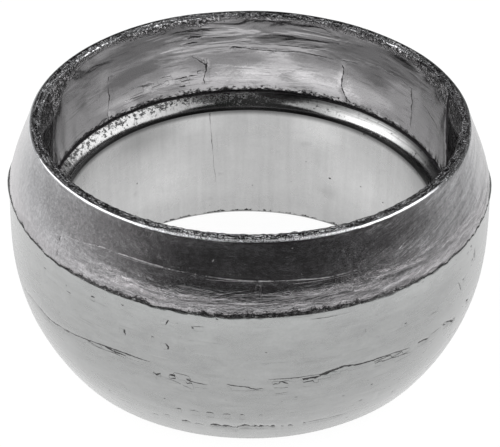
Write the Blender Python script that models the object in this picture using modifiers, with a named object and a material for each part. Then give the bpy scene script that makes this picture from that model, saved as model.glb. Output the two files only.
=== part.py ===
"""Exhaust gasket: a pressed ball ring that seals a slip joint between two exhaust pipes.

The real ring is one piece. Graphite sheet and knitted steel wire are wound up and pressed in a
two-part mould, which leaves four marks: a ragged seam at the waist where the mould halves met,
a rounded step inside where the core pin changes size, a crease round the ball where the outer
wrap folded and opened into cracks, and two dips in the socket where its lining is lapped.

Frame: metres, the ring's axis is Z and the bottom face lies on Z = 0. The ball is below, the
taper and the rim are above. Bearings are in degrees from +X towards +Y, so -90 is the front.
"""
import random
from math import acos, atan2, cos, exp, hypot, pi, radians, sin, sqrt

import bpy
from mathutils import Vector

# Bore and socket
BORE_DIAMETER = 0.0544
STEP_WIDTH = 0.00195
STEP_DROP = 0.0026
SOCKET_DEPTH = 0.01335
SOCKET_FLARE = 0.00058
STEP_EASE = 0.00065
CREST_WIDTH = 0.0006
CREST_DROP = 0.00075
CREVICE_DEPTH = 0.0003
CREVICE_WIDTH = 0.0005

# Outside, from the rim down
RIM_WALL = 0.00158
TAPER_HEIGHT = 0.00955
TAPER_BULGE = 0.00024
WAIST_INSET = 0.00025
LAND_HEIGHT = 0.0077
BALL_WALL = 0.0078
FOOT_WALL = 0.00167

# Rounded corners
RIM_ROUND = 0.00045
MOUTH_ROUND = 0.00035
FOOT_ROUND = 0.0016
BORE_CHAMFER = 0.0003

# Seam at the waist
SEAM_WIDTH = 0.00055
SEAM_DEPTH = 0.0006
SEAM_STEP = 0.00012
SEAM_WANDER = 0.0001
SEAM_REACH = 0.0012
SEAM_WAVES = (3, 5, 8, 13)
SEAM_TEAR = 0.35
TEAR_WAVES = (9, 14, 21, 29, 37)
SEAM_FLOOR = 0.45
SEAM_GAPS = (
    (-122, 9, 0.4),
    (-88, 20, 0.55),
    (-57, 8, 0.4),
    (28, 9, 0.4),
    (66, 8, 0.3),
    (101, 12, 0.5),
    (143, 8, 0.3),
)

# Crease and cracks round the ball
CREASE_DROP = 0.011
CREASE_WIDTH = 0.0004
CREASE_DEPTH = 0.0007
CREASE_WANDER = 0.00012
CREASE_REACH = 0.0018
CREASE_WAVES = (4, 7, 11, 17, 23)
CREASE_BENDS = (
    (-158, 12, -0.0010),
    (-120, 9, 0.0013),
    (-96, 9, -0.0010),
    (-68, 8, 0.0007),
    (-35, 12, -0.0008),
    (32, 14, 0.0006),
    (60, 8, -0.0006),
    (130, 14, 0.0007),
)
CREASE_FLOOR = 0.12
CRACKS = (
    (-71, 9, 0.9),
    (-120, 7, 0.7),
    (-148, 8, 0.4),
    (-50, 7, 0.4),
    (-91, 3, 0.5),
    (38, 10, 0.6),
    (128, 8, 0.5),
)

# Lip of the step inside
CREVICE_WANDER = 0.00025
CREVICE_REACH = 0.0009
CREVICE_WAVES = (4, 7, 12, 18, 27)

# Laps of the lining in the socket
LAP_DEPTH = 0.0002
LAPS = ((179, 9), (1, 10))

STEPS_ROUND = 104

# Sizes that follow from those above
BORE_RADIUS = BORE_DIAMETER / 2
SOCKET_RADIUS = BORE_RADIUS + STEP_WIDTH
MOUTH_RADIUS = SOCKET_RADIUS + SOCKET_FLARE
RIM_RADIUS = MOUTH_RADIUS + RIM_WALL
BALL_RADIUS = BORE_RADIUS + BALL_WALL
WAIST_RADIUS = BALL_RADIUS - WAIST_INSET
FOOT_RADIUS = BORE_RADIUS + FOOT_WALL
BALL_CENTRE = FOOT_ROUND + sqrt((BALL_RADIUS - FOOT_ROUND) ** 2 - FOOT_RADIUS ** 2)
WAIST_HEIGHT = BALL_CENTRE + LAND_HEIGHT
HEIGHT = WAIST_HEIGHT + TAPER_HEIGHT
STEP_HEIGHT = HEIGHT - SOCKET_DEPTH
CREASE_HEIGHT = WAIST_HEIGHT - CREASE_DROP


def arc(centre, across, along, start, end, steps):
    """Points of an elliptical arc: half axes across (radial) and along (Z), angles in degrees."""
    points = []
    for step in range(steps + 1):
        angle = radians(start + (end - start) * step / steps)
        points.append((centre[0] + across * cos(angle), centre[1] + along * sin(angle)))
    return points


def swept(start, first_pull, last_pull, end, steps):
    """A curve that leaves its start towards one pull and reaches its end from the other."""
    points = []
    for step in range(steps + 1):
        share = step / steps
        rest = 1 - share
        weights = (rest ** 3, 3 * share * rest ** 2, 3 * share ** 2 * rest, share ** 3)
        pairs = list(zip(weights, (start, first_pull, last_pull, end)))
        points.append(tuple(sum(weight * pull[axis] for weight, pull in pairs) for axis in (0, 1)))
    return points


def fillet(before, corner, after, radius, steps):
    """Rounds a corner of the outline with an arc that touches both of its sides."""
    corner = Vector(corner)
    side_in = (Vector(before) - corner).normalized()
    side_out = (Vector(after) - corner).normalized()
    half = acos(side_in.dot(side_out)) / 2
    centre = corner + (side_in + side_out).normalized() * radius / sin(half)
    start = corner + side_in * radius * cos(half) / sin(half) - centre
    end = corner + side_out * radius * cos(half) / sin(half) - centre
    first = atan2(start.y, start.x)
    sweep = (atan2(end.y, end.x) - first + pi) % (2 * pi) - pi
    angles = [first + sweep * step / steps for step in range(steps + 1)]
    return [(centre.x + radius * cos(angle), centre.y + radius * sin(angle)) for angle in angles]


def taper_point(share):
    """A point of the taper, share 0 at the rim and 1 at the waist, most bulged at two thirds."""
    bulge = TAPER_BULGE * 27 / 4 * share ** 2 * (1 - share)
    radius = RIM_RADIUS + (WAIST_RADIUS - RIM_RADIUS) * share + bulge
    return radius, HEIGHT - TAPER_HEIGHT * share


def ball_radius(height):
    """Radius of the outside below the waist: a sphere, and above its equator a near-straight land."""
    if height > BALL_CENTRE:
        return BALL_RADIUS - WAIST_INSET * ((height - BALL_CENTRE) / LAND_HEIGHT) ** 2
    return sqrt(BALL_RADIUS ** 2 - (height - BALL_CENTRE) ** 2)


def outside_points():
    """The outside, from the rim down to the bottom face."""
    rim = (RIM_RADIUS, HEIGHT)
    points = fillet((MOUTH_RADIUS, HEIGHT), rim, taper_point(0.2), RIM_ROUND, 3)
    points += [taper_point(share) for share in (0.2, 0.4, 0.6, 0.8, 0.92)]
    points.append((WAIST_RADIUS, WAIST_HEIGHT + SEAM_WIDTH / 2))
    points.append((WAIST_RADIUS - SEAM_DEPTH, WAIST_HEIGHT))
    points.append((WAIST_RADIUS - SEAM_STEP, WAIST_HEIGHT - SEAM_WIDTH / 2))
    for share in (0.85, 0.6, 0.3, 0.0):
        height = BALL_CENTRE + LAND_HEIGHT * share
        points.append((ball_radius(height), height))
    points += crease_points()
    foot_centre = (FOOT_RADIUS, FOOT_ROUND)
    low = -90 + acos((BALL_CENTRE - FOOT_ROUND) / (BALL_RADIUS - FOOT_ROUND)) * 180 / pi
    crease_low = CREASE_HEIGHT - CREASE_WIDTH / 2
    high = -90 + acos((BALL_CENTRE - crease_low) / BALL_RADIUS) * 180 / pi
    points += arc((0, BALL_CENTRE), BALL_RADIUS, BALL_RADIUS, high, low, 7)[1:]
    points += arc(foot_centre, FOOT_ROUND, FOOT_ROUND, low, -90, 4)[1:]
    return points


def crease_points():
    """The crease: a narrow V whose sides lie on the ball."""
    upper = CREASE_HEIGHT + CREASE_WIDTH / 2
    lower = CREASE_HEIGHT - CREASE_WIDTH / 2
    bottom = ball_radius(CREASE_HEIGHT) - CREASE_DEPTH
    return [(ball_radius(upper), upper), (bottom, CREASE_HEIGHT), (ball_radius(lower), lower)]


def inside_points():
    """The inside, from the bottom face up the bore, over the rounded step and up the socket."""
    points = [(BORE_RADIUS + BORE_CHAMFER, 0), (BORE_RADIUS, BORE_CHAMFER)]
    low = STEP_HEIGHT - STEP_DROP
    points.append((BORE_RADIUS, (BORE_CHAMFER + low) / 2))
    crest = (SOCKET_RADIUS - CREVICE_WIDTH, STEP_HEIGHT)
    pull = (crest[0] - CREST_WIDTH, STEP_HEIGHT - CREST_DROP)
    points += swept((BORE_RADIUS, low), (BORE_RADIUS, low + STEP_EASE), pull, crest, 7)
    points.append((SOCKET_RADIUS + CREVICE_DEPTH, STEP_HEIGHT - CREVICE_DEPTH))
    points.append((SOCKET_RADIUS, STEP_HEIGHT + CREVICE_WIDTH))
    for share in (0.35, 0.7):
        height = STEP_HEIGHT + SOCKET_DEPTH * share
        points.append((SOCKET_RADIUS + SOCKET_FLARE * share, height))
    mouth = (MOUTH_RADIUS, HEIGHT)
    points += fillet(points[-1], mouth, (RIM_RADIUS, HEIGHT), MOUTH_ROUND, 3)
    return points


def turned(name, outline):
    """Turns a closed outline about Z with a Screw modifier and returns the finished mesh object."""
    mesh = bpy.data.meshes.new(name)
    count = len(outline)
    edges = [(index, (index + 1) % count) for index in range(count)]
    mesh.from_pydata([(radius, 0, height) for radius, height in outline], edges, [])
    guide = bpy.data.objects.new(name + "_outline", mesh)
    bpy.context.scene.collection.objects.link(guide)
    screw = guide.modifiers.new("Turn", "SCREW")
    screw.steps = STEPS_ROUND
    screw.render_steps = STEPS_ROUND
    screw.use_merge_vertices = True
    screw.merge_threshold = 0.000001
    graph = bpy.context.evaluated_depsgraph_get()
    finished = bpy.data.meshes.new_from_object(guide.evaluated_get(graph))
    bpy.data.objects.remove(guide)
    bpy.data.meshes.remove(mesh)
    finished.name = name
    return bpy.data.objects.new(name, finished)


def ripple(angle, waves, seed):
    """A wandering value of about -1 to 1 that closes on itself after one turn."""
    dice = random.Random(seed)
    total = sum(cos(count * angle + dice.uniform(0, 2 * pi)) for count in waves)
    return total / sqrt(2 * len(waves))


def nearness(distance, reach):
    """1 at no distance, fading smoothly to nothing past the reach."""
    return exp(-(distance / reach) ** 2)


def apart(angle, place):
    """Degrees between an angle and a bearing, the short way round."""
    return (angle * 180 / pi - place + 180) % 360 - 180


def around(angle, floor, spots):
    """A value round the ring: a floor plus smooth lobes, each a bearing, a half width and a height."""
    return floor + sum(size * nearness(apart(angle, place), spread) for place, spread, size in spots)


def roughen_seam(angle, radius, height):
    """Opens the seam by its gaps, tears its upper edge and lets the whole of it wander."""
    share = min(around(angle, SEAM_FLOOR, SEAM_GAPS), 1)
    near = nearness(height - WAIST_HEIGHT, SEAM_REACH)
    in_groove = nearness(height - WAIST_HEIGHT, SEAM_WIDTH / 4)
    at_hem = nearness(height - WAIST_HEIGHT - SEAM_WIDTH / 2, SEAM_WIDTH / 4)
    torn = share * (1 + SEAM_TEAR * ripple(angle, TEAR_WAVES, 11))
    radius += in_groove * SEAM_DEPTH * (1 - share)
    height += at_hem * SEAM_WIDTH * (torn - 1) + near * SEAM_WANDER * ripple(angle, SEAM_WAVES, 7)
    return radius, height


def roughen_crease(angle, radius, height):
    """Bends the crease up and down over the ball and opens it at its cracks."""
    share = min(around(angle, CREASE_FLOOR, CRACKS), 1)
    near = nearness(height - CREASE_HEIGHT, CREASE_REACH)
    in_groove = nearness(height - CREASE_HEIGHT, CREASE_WIDTH / 4)
    shift = around(angle, 0, CREASE_BENDS) + CREASE_WANDER * ripple(angle, CREASE_WAVES, 5)
    moved = height + near * shift
    radius += in_groove * CREASE_DEPTH * (1 - share) + ball_radius(moved) - ball_radius(height)
    return radius, moved


def roughen(mesh):
    """Lets the seam, the crease and the step's lip wander, and sinks the laps of the lining."""
    for vertex in mesh.vertices:
        x, y, height = vertex.co
        angle = atan2(y, x)
        radius = hypot(x, y)
        if radius > WAIST_RADIUS - 2 * SEAM_DEPTH:
            radius, height = roughen_seam(angle, radius, height)
        if radius > ball_radius(CREASE_HEIGHT) - 2 * CREASE_DEPTH:
            radius, height = roughen_crease(angle, radius, height)
        if radius < SOCKET_RADIUS + 2 * CREVICE_DEPTH:
            near = nearness(height - STEP_HEIGHT, CREVICE_REACH)
            height += near * CREVICE_WANDER * ripple(angle, CREVICE_WAVES, 3)
        lining = STEP_HEIGHT + 2 * CREVICE_WIDTH < height < HEIGHT - 2 * MOUTH_ROUND
        if lining and radius < MOUTH_RADIUS and any(abs(apart(angle, place)) < half for place, half in LAPS):
            radius += LAP_DEPTH
        vertex.co = (radius * cos(angle), radius * sin(angle), height)


def pressed_graphite():
    """Dark grey graphite rubbed to a dull metal shine."""
    material = bpy.data.materials.new("pressed_graphite")
    material.use_nodes = True
    shader = material.node_tree.nodes["Principled BSDF"]
    shader.inputs["Base Color"].default_value = (0.42, 0.42, 0.42, 1)
    shader.inputs["Metallic"].default_value = 0.8
    shader.inputs["Roughness"].default_value = 0.38
    return material


def main():
    for item in list(bpy.data.objects):
        bpy.data.objects.remove(item, do_unlink=True)
    parts = bpy.data.collections.new("exhaust_gasket")
    bpy.context.scene.collection.children.link(parts)
    ring = turned("gasket_ring", outside_points() + inside_points())
    roughen(ring.data)
    ring.data.materials.append(pressed_graphite())
    ring.data.shade_smooth()
    ring.data.set_sharp_from_angle(angle=radians(35))
    parts.objects.link(ring)


main()
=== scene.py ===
# %% [markdown]
# An exhaust ring gasket sits between two exhaust pipes and lets the joint swivel a little.
# It is one piece: graphite sheet and knitted steel wire, wound up and pressed in a mould.
# This file dresses the plain solid of that ring in its real skin: a ragged seam at the waist,
# cracks in the wrap, a torn rim where the wire shows, and a stepped bore rubbed smooth.
# The solid comes first. It fixes every size, and nothing below moves it or resizes it.

# %% Load the solid
import math
import random

import bpy
import numpy as np
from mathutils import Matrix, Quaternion, Vector


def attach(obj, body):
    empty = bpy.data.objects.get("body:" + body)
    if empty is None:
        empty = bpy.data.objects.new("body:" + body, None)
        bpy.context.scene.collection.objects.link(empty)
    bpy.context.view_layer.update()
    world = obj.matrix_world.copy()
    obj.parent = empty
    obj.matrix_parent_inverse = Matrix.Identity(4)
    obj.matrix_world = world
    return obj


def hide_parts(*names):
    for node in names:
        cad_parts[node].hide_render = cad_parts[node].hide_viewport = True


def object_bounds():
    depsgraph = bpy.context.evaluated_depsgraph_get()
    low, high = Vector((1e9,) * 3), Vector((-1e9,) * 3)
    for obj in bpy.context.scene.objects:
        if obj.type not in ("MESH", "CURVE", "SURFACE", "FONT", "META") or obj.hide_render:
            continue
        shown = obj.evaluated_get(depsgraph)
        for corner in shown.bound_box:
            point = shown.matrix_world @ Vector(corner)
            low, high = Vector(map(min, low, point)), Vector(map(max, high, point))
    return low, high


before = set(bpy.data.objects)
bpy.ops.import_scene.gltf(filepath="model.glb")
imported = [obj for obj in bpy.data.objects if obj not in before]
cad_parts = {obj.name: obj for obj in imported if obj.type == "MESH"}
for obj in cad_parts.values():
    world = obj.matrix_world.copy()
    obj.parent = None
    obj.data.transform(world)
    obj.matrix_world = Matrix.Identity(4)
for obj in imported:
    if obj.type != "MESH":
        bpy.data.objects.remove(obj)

cad_low, cad_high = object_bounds()
print("solid", [round(v * 1000, 2) for v in (*cad_low, *cad_high)], "mm")

# %% [markdown]
# A turned part is drawn as half of its section. Here the section is one closed line of radius
# and height, as arrays: the rim face, the rim's round edge, the taper, the waist, the land and
# the ball, the foot, the bore, the rounded step, the crevice over it and the socket wall.
# The outer sizes are measured from the solid, and the others are repeated in millimetres.

# %% Sizes of the section
MM = 0.001
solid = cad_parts["gasket_ring"]
corners = np.array([v.co for v in solid.data.vertices])
radii = np.hypot(corners[:, 0], corners[:, 1])
HEIGHT = cad_high.z
BALL_RADIUS = radii.max()
BORE_RADIUS = radii.min()
HAIR = 0.01 * MM
top_radii = radii[corners[:, 2] > HEIGHT - HAIR]
foot_radii = radii[corners[:, 2] < HAIR]
SOLID_MOUTH_ROUND = 0.35 * MM
MOUTH_ROUND = 0.30 * MM
MOUTH_RADIUS = top_radii.min() - SOLID_MOUTH_ROUND
RIM_FLAT = (MOUTH_RADIUS + MOUTH_ROUND, top_radii.max())
FOOT_FLAT = (foot_radii.min(), foot_radii.max())

RIM_ROUND = 0.45 * MM
FOOT_ROUND = 1.6 * MM
FOOT_TUCK = 0.48 * MM
TUCK_HEIGHT = 9.0 * MM
TAPER_HEIGHT = 9.55 * MM
TAPER_BULGE = 0.24 * MM
WAIST_INSET = 0.25 * MM
LAND_HEIGHT = 7.7 * MM
SOCKET_DEPTH = 13.35 * MM
STEP_WIDTH = 1.95 * MM
STEP_DROP = 2.6 * MM
STEP_LIP = 1.80 * MM
STEP_FOOT_PULL = 1.10 * MM
STEP_LIP_PULL = 1.00 * MM
CHAMFER = 0.3 * MM

WAIST_HEIGHT = HEIGHT - TAPER_HEIGHT
WAIST_RADIUS = BALL_RADIUS - WAIST_INSET
BALL_CENTRE = WAIST_HEIGHT - LAND_HEIGHT
STEP_HEIGHT = HEIGHT - SOCKET_DEPTH
SOCKET_RADIUS = BORE_RADIUS + STEP_WIDTH
print("bore %.1f mm, ball %.1f mm, height %.1f mm"
      % (2000 * BORE_RADIUS, 2000 * BALL_RADIUS, 1000 * HEIGHT))

# %% Curves for the section
share = np.linspace(0, 1, 400)


def straight(start, end):
    """A straight stretch: the two ends mixed by the share of the way."""
    return [start[axis] + (end[axis] - start[axis]) * share for axis in (0, 1)]


def bend(centre, across, along, first, last):
    """A stretch of an ellipse: centre plus its half axes times the cosine and sine of the angle."""
    angle = np.radians(first + (last - first) * share)
    return [centre[0] + across * np.cos(angle), centre[1] + along * np.sin(angle)]


def sweep(start, first_pull, last_pull, end):
    """A stretch that leaves its start towards one pull and reaches its end from the other (Bezier)."""
    weights = ((1 - share) ** 3, 3 * share * (1 - share) ** 2, 3 * share ** 2 * (1 - share), share ** 3)
    points = (start, first_pull, last_pull, end)
    return [sum(weight * point[axis] for weight, point in zip(weights, points)) for axis in (0, 1)]


def below_waist():
    """The land and the ball: a sphere, nearly straight above its equator, down to the foot."""
    lean = np.degrees(np.arccos((BALL_CENTRE - FOOT_ROUND) / (BALL_RADIUS - FOOT_ROUND)))
    land_height = WAIST_HEIGHT + (BALL_CENTRE - WAIST_HEIGHT) * share
    land_radius = BALL_RADIUS - (BALL_RADIUS - WAIST_RADIUS) * (1 - share) ** 2
    sphere = bend((0, BALL_CENTRE), BALL_RADIUS, BALL_RADIUS, 0, lean - 90)
    foot_edge = bend((FOOT_FLAT[1], FOOT_ROUND), FOOT_ROUND, FOOT_ROUND, lean - 90, -90)
    for line in (sphere, foot_edge):
        line[0] = line[0] - FOOT_TUCK * np.clip(1 - line[1] / TUCK_HEIGHT, 0, 1) ** 2
    return [("ball", land_radius, land_height), ("ball", *sphere), ("ball", *foot_edge)]


# %% Section line
rim_edge = bend((RIM_FLAT[1], HEIGHT - RIM_ROUND), RIM_ROUND, RIM_ROUND, 90, 20)
taper_line = straight((rim_edge[0][-1], rim_edge[1][-1]), (WAIST_RADIUS, WAIST_HEIGHT))
BULGE_SCALE = 6.75  # one over the most that (1 - share) * share ** 2 can be
taper_line[0] = taper_line[0] + TAPER_BULGE * BULGE_SCALE * (1 - share) * share ** 2
step_low = STEP_HEIGHT - STEP_DROP
step_line = sweep((BORE_RADIUS, step_low), (BORE_RADIUS, step_low + STEP_FOOT_PULL),
                  (BORE_RADIUS + STEP_LIP - STEP_FOOT_PULL, STEP_HEIGHT - STEP_LIP_PULL),
                  (BORE_RADIUS + STEP_LIP, STEP_HEIGHT))
foot_inside = (FOOT_FLAT[0], 0)
bore_foot = (BORE_RADIUS, CHAMFER)
crevice = (SOCKET_RADIUS + 0.28 * MM, STEP_HEIGHT - 0.10 * MM)
lining_edge = (SOCKET_RADIUS, STEP_HEIGHT + 0.20 * MM)
socket_top = (MOUTH_RADIUS, HEIGHT - MOUTH_ROUND)
stretches = [
    ("rim", *straight((RIM_FLAT[0], HEIGHT), (RIM_FLAT[1], HEIGHT))), ("rim", *rim_edge),
    ("taper", *taper_line), *below_waist(),
    ("foot", *straight((FOOT_FLAT[1] - FOOT_TUCK, 0), foot_inside)),
    ("foot", *straight(foot_inside, bore_foot)),
    ("bore", *straight(bore_foot, (BORE_RADIUS, step_low))), ("step", *step_line),
    ("step", *straight((step_line[0][-1], STEP_HEIGHT), crevice)),
    ("step", *straight(crevice, lining_edge)),
    ("socket", *straight(lining_edge, socket_top)),
    ("rim", *bend((RIM_FLAT[0], HEIGHT - MOUTH_ROUND), MOUTH_ROUND, MOUTH_ROUND, 180, 90)),
]
print(len(stretches), "stretches in the section")

# %% [markdown]
# The section is now cut into rows. Rows cost triangles, so they crowd where the skin is rough
# and spread out where it is smooth: each zone has its rows per millimetre, and some heights
# get more. The running sum of that density, read backwards, gives the places of the rows.

# %% Rows along the section
ROWS_PER_MM = {"rim": 7.0, "taper": 2.0, "ball": 0.8, "foot": 1.6, "bore": 0.7, "step": 4.5, "socket": 1.7}
# Columns: outside or not, height, reach, extra rows per millimetre.
CROWDS = (
    (True, WAIST_HEIGHT + 0.1 * MM, 0.7 * MM, 9.0),
    (True, WAIST_HEIGHT + 1.8 * MM, 1.6 * MM, 1.5),
    (True, 15.3 * MM, 1.5 * MM, 2.6),
    (True, 4.9 * MM, 0.6 * MM, 2.0),
    (True, 8.0 * MM, 0.4 * MM, 1.5),
    (True, 20.0 * MM, 1.1 * MM, 2.0),
    (True, 23.8 * MM, 0.5 * MM, 2.5),
    (True, HEIGHT, 0.5 * MM, 3.0),
    (False, STEP_HEIGHT + 0.1 * MM, 0.6 * MM, 4.0),
    (False, HEIGHT, 1.2 * MM, 3.0),
    (False, 0.4 * MM, 0.4 * MM, 4.0),
)
ROWS = 156
COLUMNS = 640
ZONES = tuple(ROWS_PER_MM)
print("skin of", ROWS, "rows and", COLUMNS, "columns")

# %% Where the rows lie
line_r = np.concatenate([r[:-1] for zone, r, z in stretches])
line_z = np.concatenate([z[:-1] for zone, r, z in stretches])
line_zone = np.concatenate([np.full(len(r) - 1, ZONES.index(zone)) for zone, r, z in stretches])
along = np.concatenate([[0], np.cumsum(np.hypot(np.diff(line_r), np.diff(line_z)))])
SPLIT_RADIUS = 0.5 * (SOCKET_RADIUS + RIM_FLAT[1])
density = np.array([ROWS_PER_MM[zone] for zone in ZONES])[line_zone]
for on_outside, height, reach, extra in CROWDS:
    density += extra * np.exp(-((line_z - height) / reach) ** 2) * ((line_r > SPLIT_RADIUS) == on_outside)
running = np.concatenate([[0], np.cumsum(density[:-1] * np.diff(along))])
places = np.interp(np.arange(ROWS) / ROWS * running[-1], running, along)
row_r = np.interp(places, along, line_r)
row_z = np.interp(places, along, line_z)
row_zone = line_zone[np.searchsorted(along, places, side="right") - 1]
print("rows per zone", {zone: int((row_zone == i).sum()) for i, zone in enumerate(ZONES)})

# %% Outward direction of each row
turn_r = np.roll(row_r, -1) - np.roll(row_r, 1)
turn_z = np.roll(row_z, -1) - np.roll(row_z, 1)
turn = np.hypot(turn_r, turn_z)
normal_r = -turn_z / turn
normal_z = turn_r / turn
print("rim looks up:", bool(normal_z[2] > 0.9))

# %% [markdown]
# Everything rough on this ring is a wave of some size. A patch of roughness is made by adding
# many cosine waves that all have about one length but random directions: where they agree
# there is a bump, where they disagree a dip. Seeded numbers keep it the same on every run.

# %% The grid of the skin
angle = np.linspace(-np.pi, np.pi, COLUMNS, endpoint=False)[None, :]
bearing = np.degrees(angle)
grid_r = np.repeat(row_r[:, None], COLUMNS, axis=1)
grid_z = np.repeat(row_z[:, None], COLUMNS, axis=1)
grid_x = grid_r * np.cos(angle)
grid_y = grid_r * np.sin(angle)
zone = row_zone[:, None]
is_outside = grid_r > SPLIT_RADIUS
FOOT_TOP = 0.4 * MM
is_inside = ~is_outside & (grid_z > FOOT_TOP)
FAR = 5 * MM  # a distance that no mark reaches
print("grid of", grid_r.size, "points")

# %% Roughness from random waves


def bumps(size, seed, flat=1.0, waves=28):
    """Sum of cosines of wave length size in random directions, times flat along Z, over their spread."""
    dice = np.random.default_rng(seed)
    total = np.zeros_like(grid_r)
    for _ in range(waves):
        way = dice.normal(size=3)
        way *= 2 * np.pi / size / np.linalg.norm(way)
        total += np.cos(grid_x * way[0] + grid_y * way[1] + grid_z * way[2] * flat
                        + dice.uniform(0, 2 * np.pi))
    return total / math.sqrt(waves / 2)


def ripple(waves, seed):
    """A wandering line: cosines of whole numbers of waves round the ring, over their spread."""
    dice = random.Random(seed)
    total = sum(np.cos(count * angle + dice.uniform(0, 2 * math.pi)) for count in waves)
    return total / math.sqrt(2 * len(waves))


print("bumps spread %.2f, a ripple %.2f" % (bumps(MM, 1).std(), ripple((3, 5), 1).std()))

# %% Simple shapes of a value


def tent(distance, reach):
    """1 at no distance, fading smoothly to nothing past the reach: e to minus the square."""
    return np.exp(-(distance / reach) ** 2)


def degrees_from(place):
    """How many degrees each point lies past a bearing, from -180 to 180."""
    return (bearing - place + 180) % 360 - 180


def lobes(spots, floor):
    """A value round the ring: a floor plus smooth lobes, each a bearing, a half width and a height."""
    value = np.full_like(bearing, floor)
    for place, half_width, height in spots:
        value = value + height * tent(degrees_from(place), half_width)
    return value


def ramp_up(value, low, high):
    """0 below low, 1 above high, and between them a smooth S: three squares less two cubes."""
    part = np.clip((value - low) / (high - low), 0, 1)
    return part * part * (3 - 2 * part)


def on_zone(name):
    """Where the skin belongs to a zone."""
    return zone == ZONES.index(name)


print("rows of the socket", int(on_zone("socket").sum()))

# %% [markdown]
# The seam. The mould's two halves met at the waist, and the wrap above it ends in a torn hem
# over the smooth edge of the ball. Round the ring it changes from a hairline at the sides to a
# dark ragged gap in front. Its lower edge stays level, and its upper edge is bitten away.

# %% Seam
SEAM_DROP = 0.32 * MM
SEAM_WANDER = 0.07 * MM
SEAM_DEPTH = 0.34 * MM
HEM_RISE = 0.020 * MM
NARROWEST_GAP = 0.10
# Columns: bearing and half width in degrees, height of the gap in millimetres.
SEAM_LOBES = (
    (-177, 12, 0.32), (-158, 9, 0.10), (-147, 6, 0.05), (-137.5, 1.4, 0.14), (-133.5, 1.4, 0.18),
    (-130, 1.3, 0.16), (-126.5, 2.0, 0.30), (-122.6, 1.2, 0.24), (-119.5, 2.4, 0.34), (-115, 1.2, 0.22),
    (-112.6, 1.4, 0.30), (-107, 2.0, 0.10), (-101, 5.0, 0.18), (-91, 7.0, 0.37), (-78, 7.0, 0.30),
    (-68, 5.0, 0.26), (-59, 4.0, 0.26), (-51, 3.0, 0.16), (-43, 3.5, 0.14), (-33, 4.0, 0.12),
    (-20, 5.0, 0.10), (-3, 8.0, 0.34), (28, 9.0, 0.26), (66, 8.0, 0.18), (101, 12.0, 0.30),
    (143, 8.0, 0.20),
)
# The same columns, but the last is how far the lower edge stands out.
SEAM_LIPS = ((-177, 9, 0.34), (-3, 8, 0.28))

seam_gap = lobes(SEAM_LOBES, NARROWEST_GAP) * MM
seam_low = WAIST_HEIGHT - SEAM_DROP + SEAM_WANDER * ripple((3, 5, 8), 7)
torn = bumps(1.7 * MM, 21)[0] + 0.7 * bumps(1.0 * MM, 22)[0]
seam_low = seam_low + SEAM_WANDER * torn[None, :] * tent(seam_gap, 0.30 * MM)
seam_gap = seam_gap * np.clip(1 + 0.12 * torn[None, :], 0.4, 2.0)
seam_height = np.where(is_outside, grid_z - seam_low, FAR)
crumbs = bumps(1.0 * MM, 23)
over_seam_top = ramp_up(seam_height - seam_gap, -0.06 * MM, 0.10 * MM)
in_gap = ramp_up(seam_height, -0.02 * MM, 0.12 * MM) * (1 - over_seam_top)
push = np.where(is_outside, -SEAM_DEPTH * in_gap * (0.75 + 0.35 * crumbs), 0)
hem = tent(seam_height - seam_gap - 0.35 * MM, 0.30 * MM) * np.clip(seam_gap / (0.4 * MM), 0, 1)
push += np.where(is_outside, HEM_RISE * hem * (1 + 0.8 * crumbs), 0)
lip = lobes(SEAM_LIPS, 0.0) * MM
push += np.where(is_outside, lip * tent(seam_height + 0.25 * MM, 0.40 * MM), 0)
print("seam gap from %.2f to %.2f mm" % (seam_gap.min() / MM, seam_gap.max() / MM))

# %% [markdown]
# Cracks. Each one is a chain of points: bearing in degrees, height and opening in millimetres.
# Level cracks are read as a height over the bearing. The skin stores, at every point, how far
# above the nearest crack it lies and how open that crack is. Both change smoothly, so the
# material can draw a line much finer than the mesh, and the mesh only sinks a little there.

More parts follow.
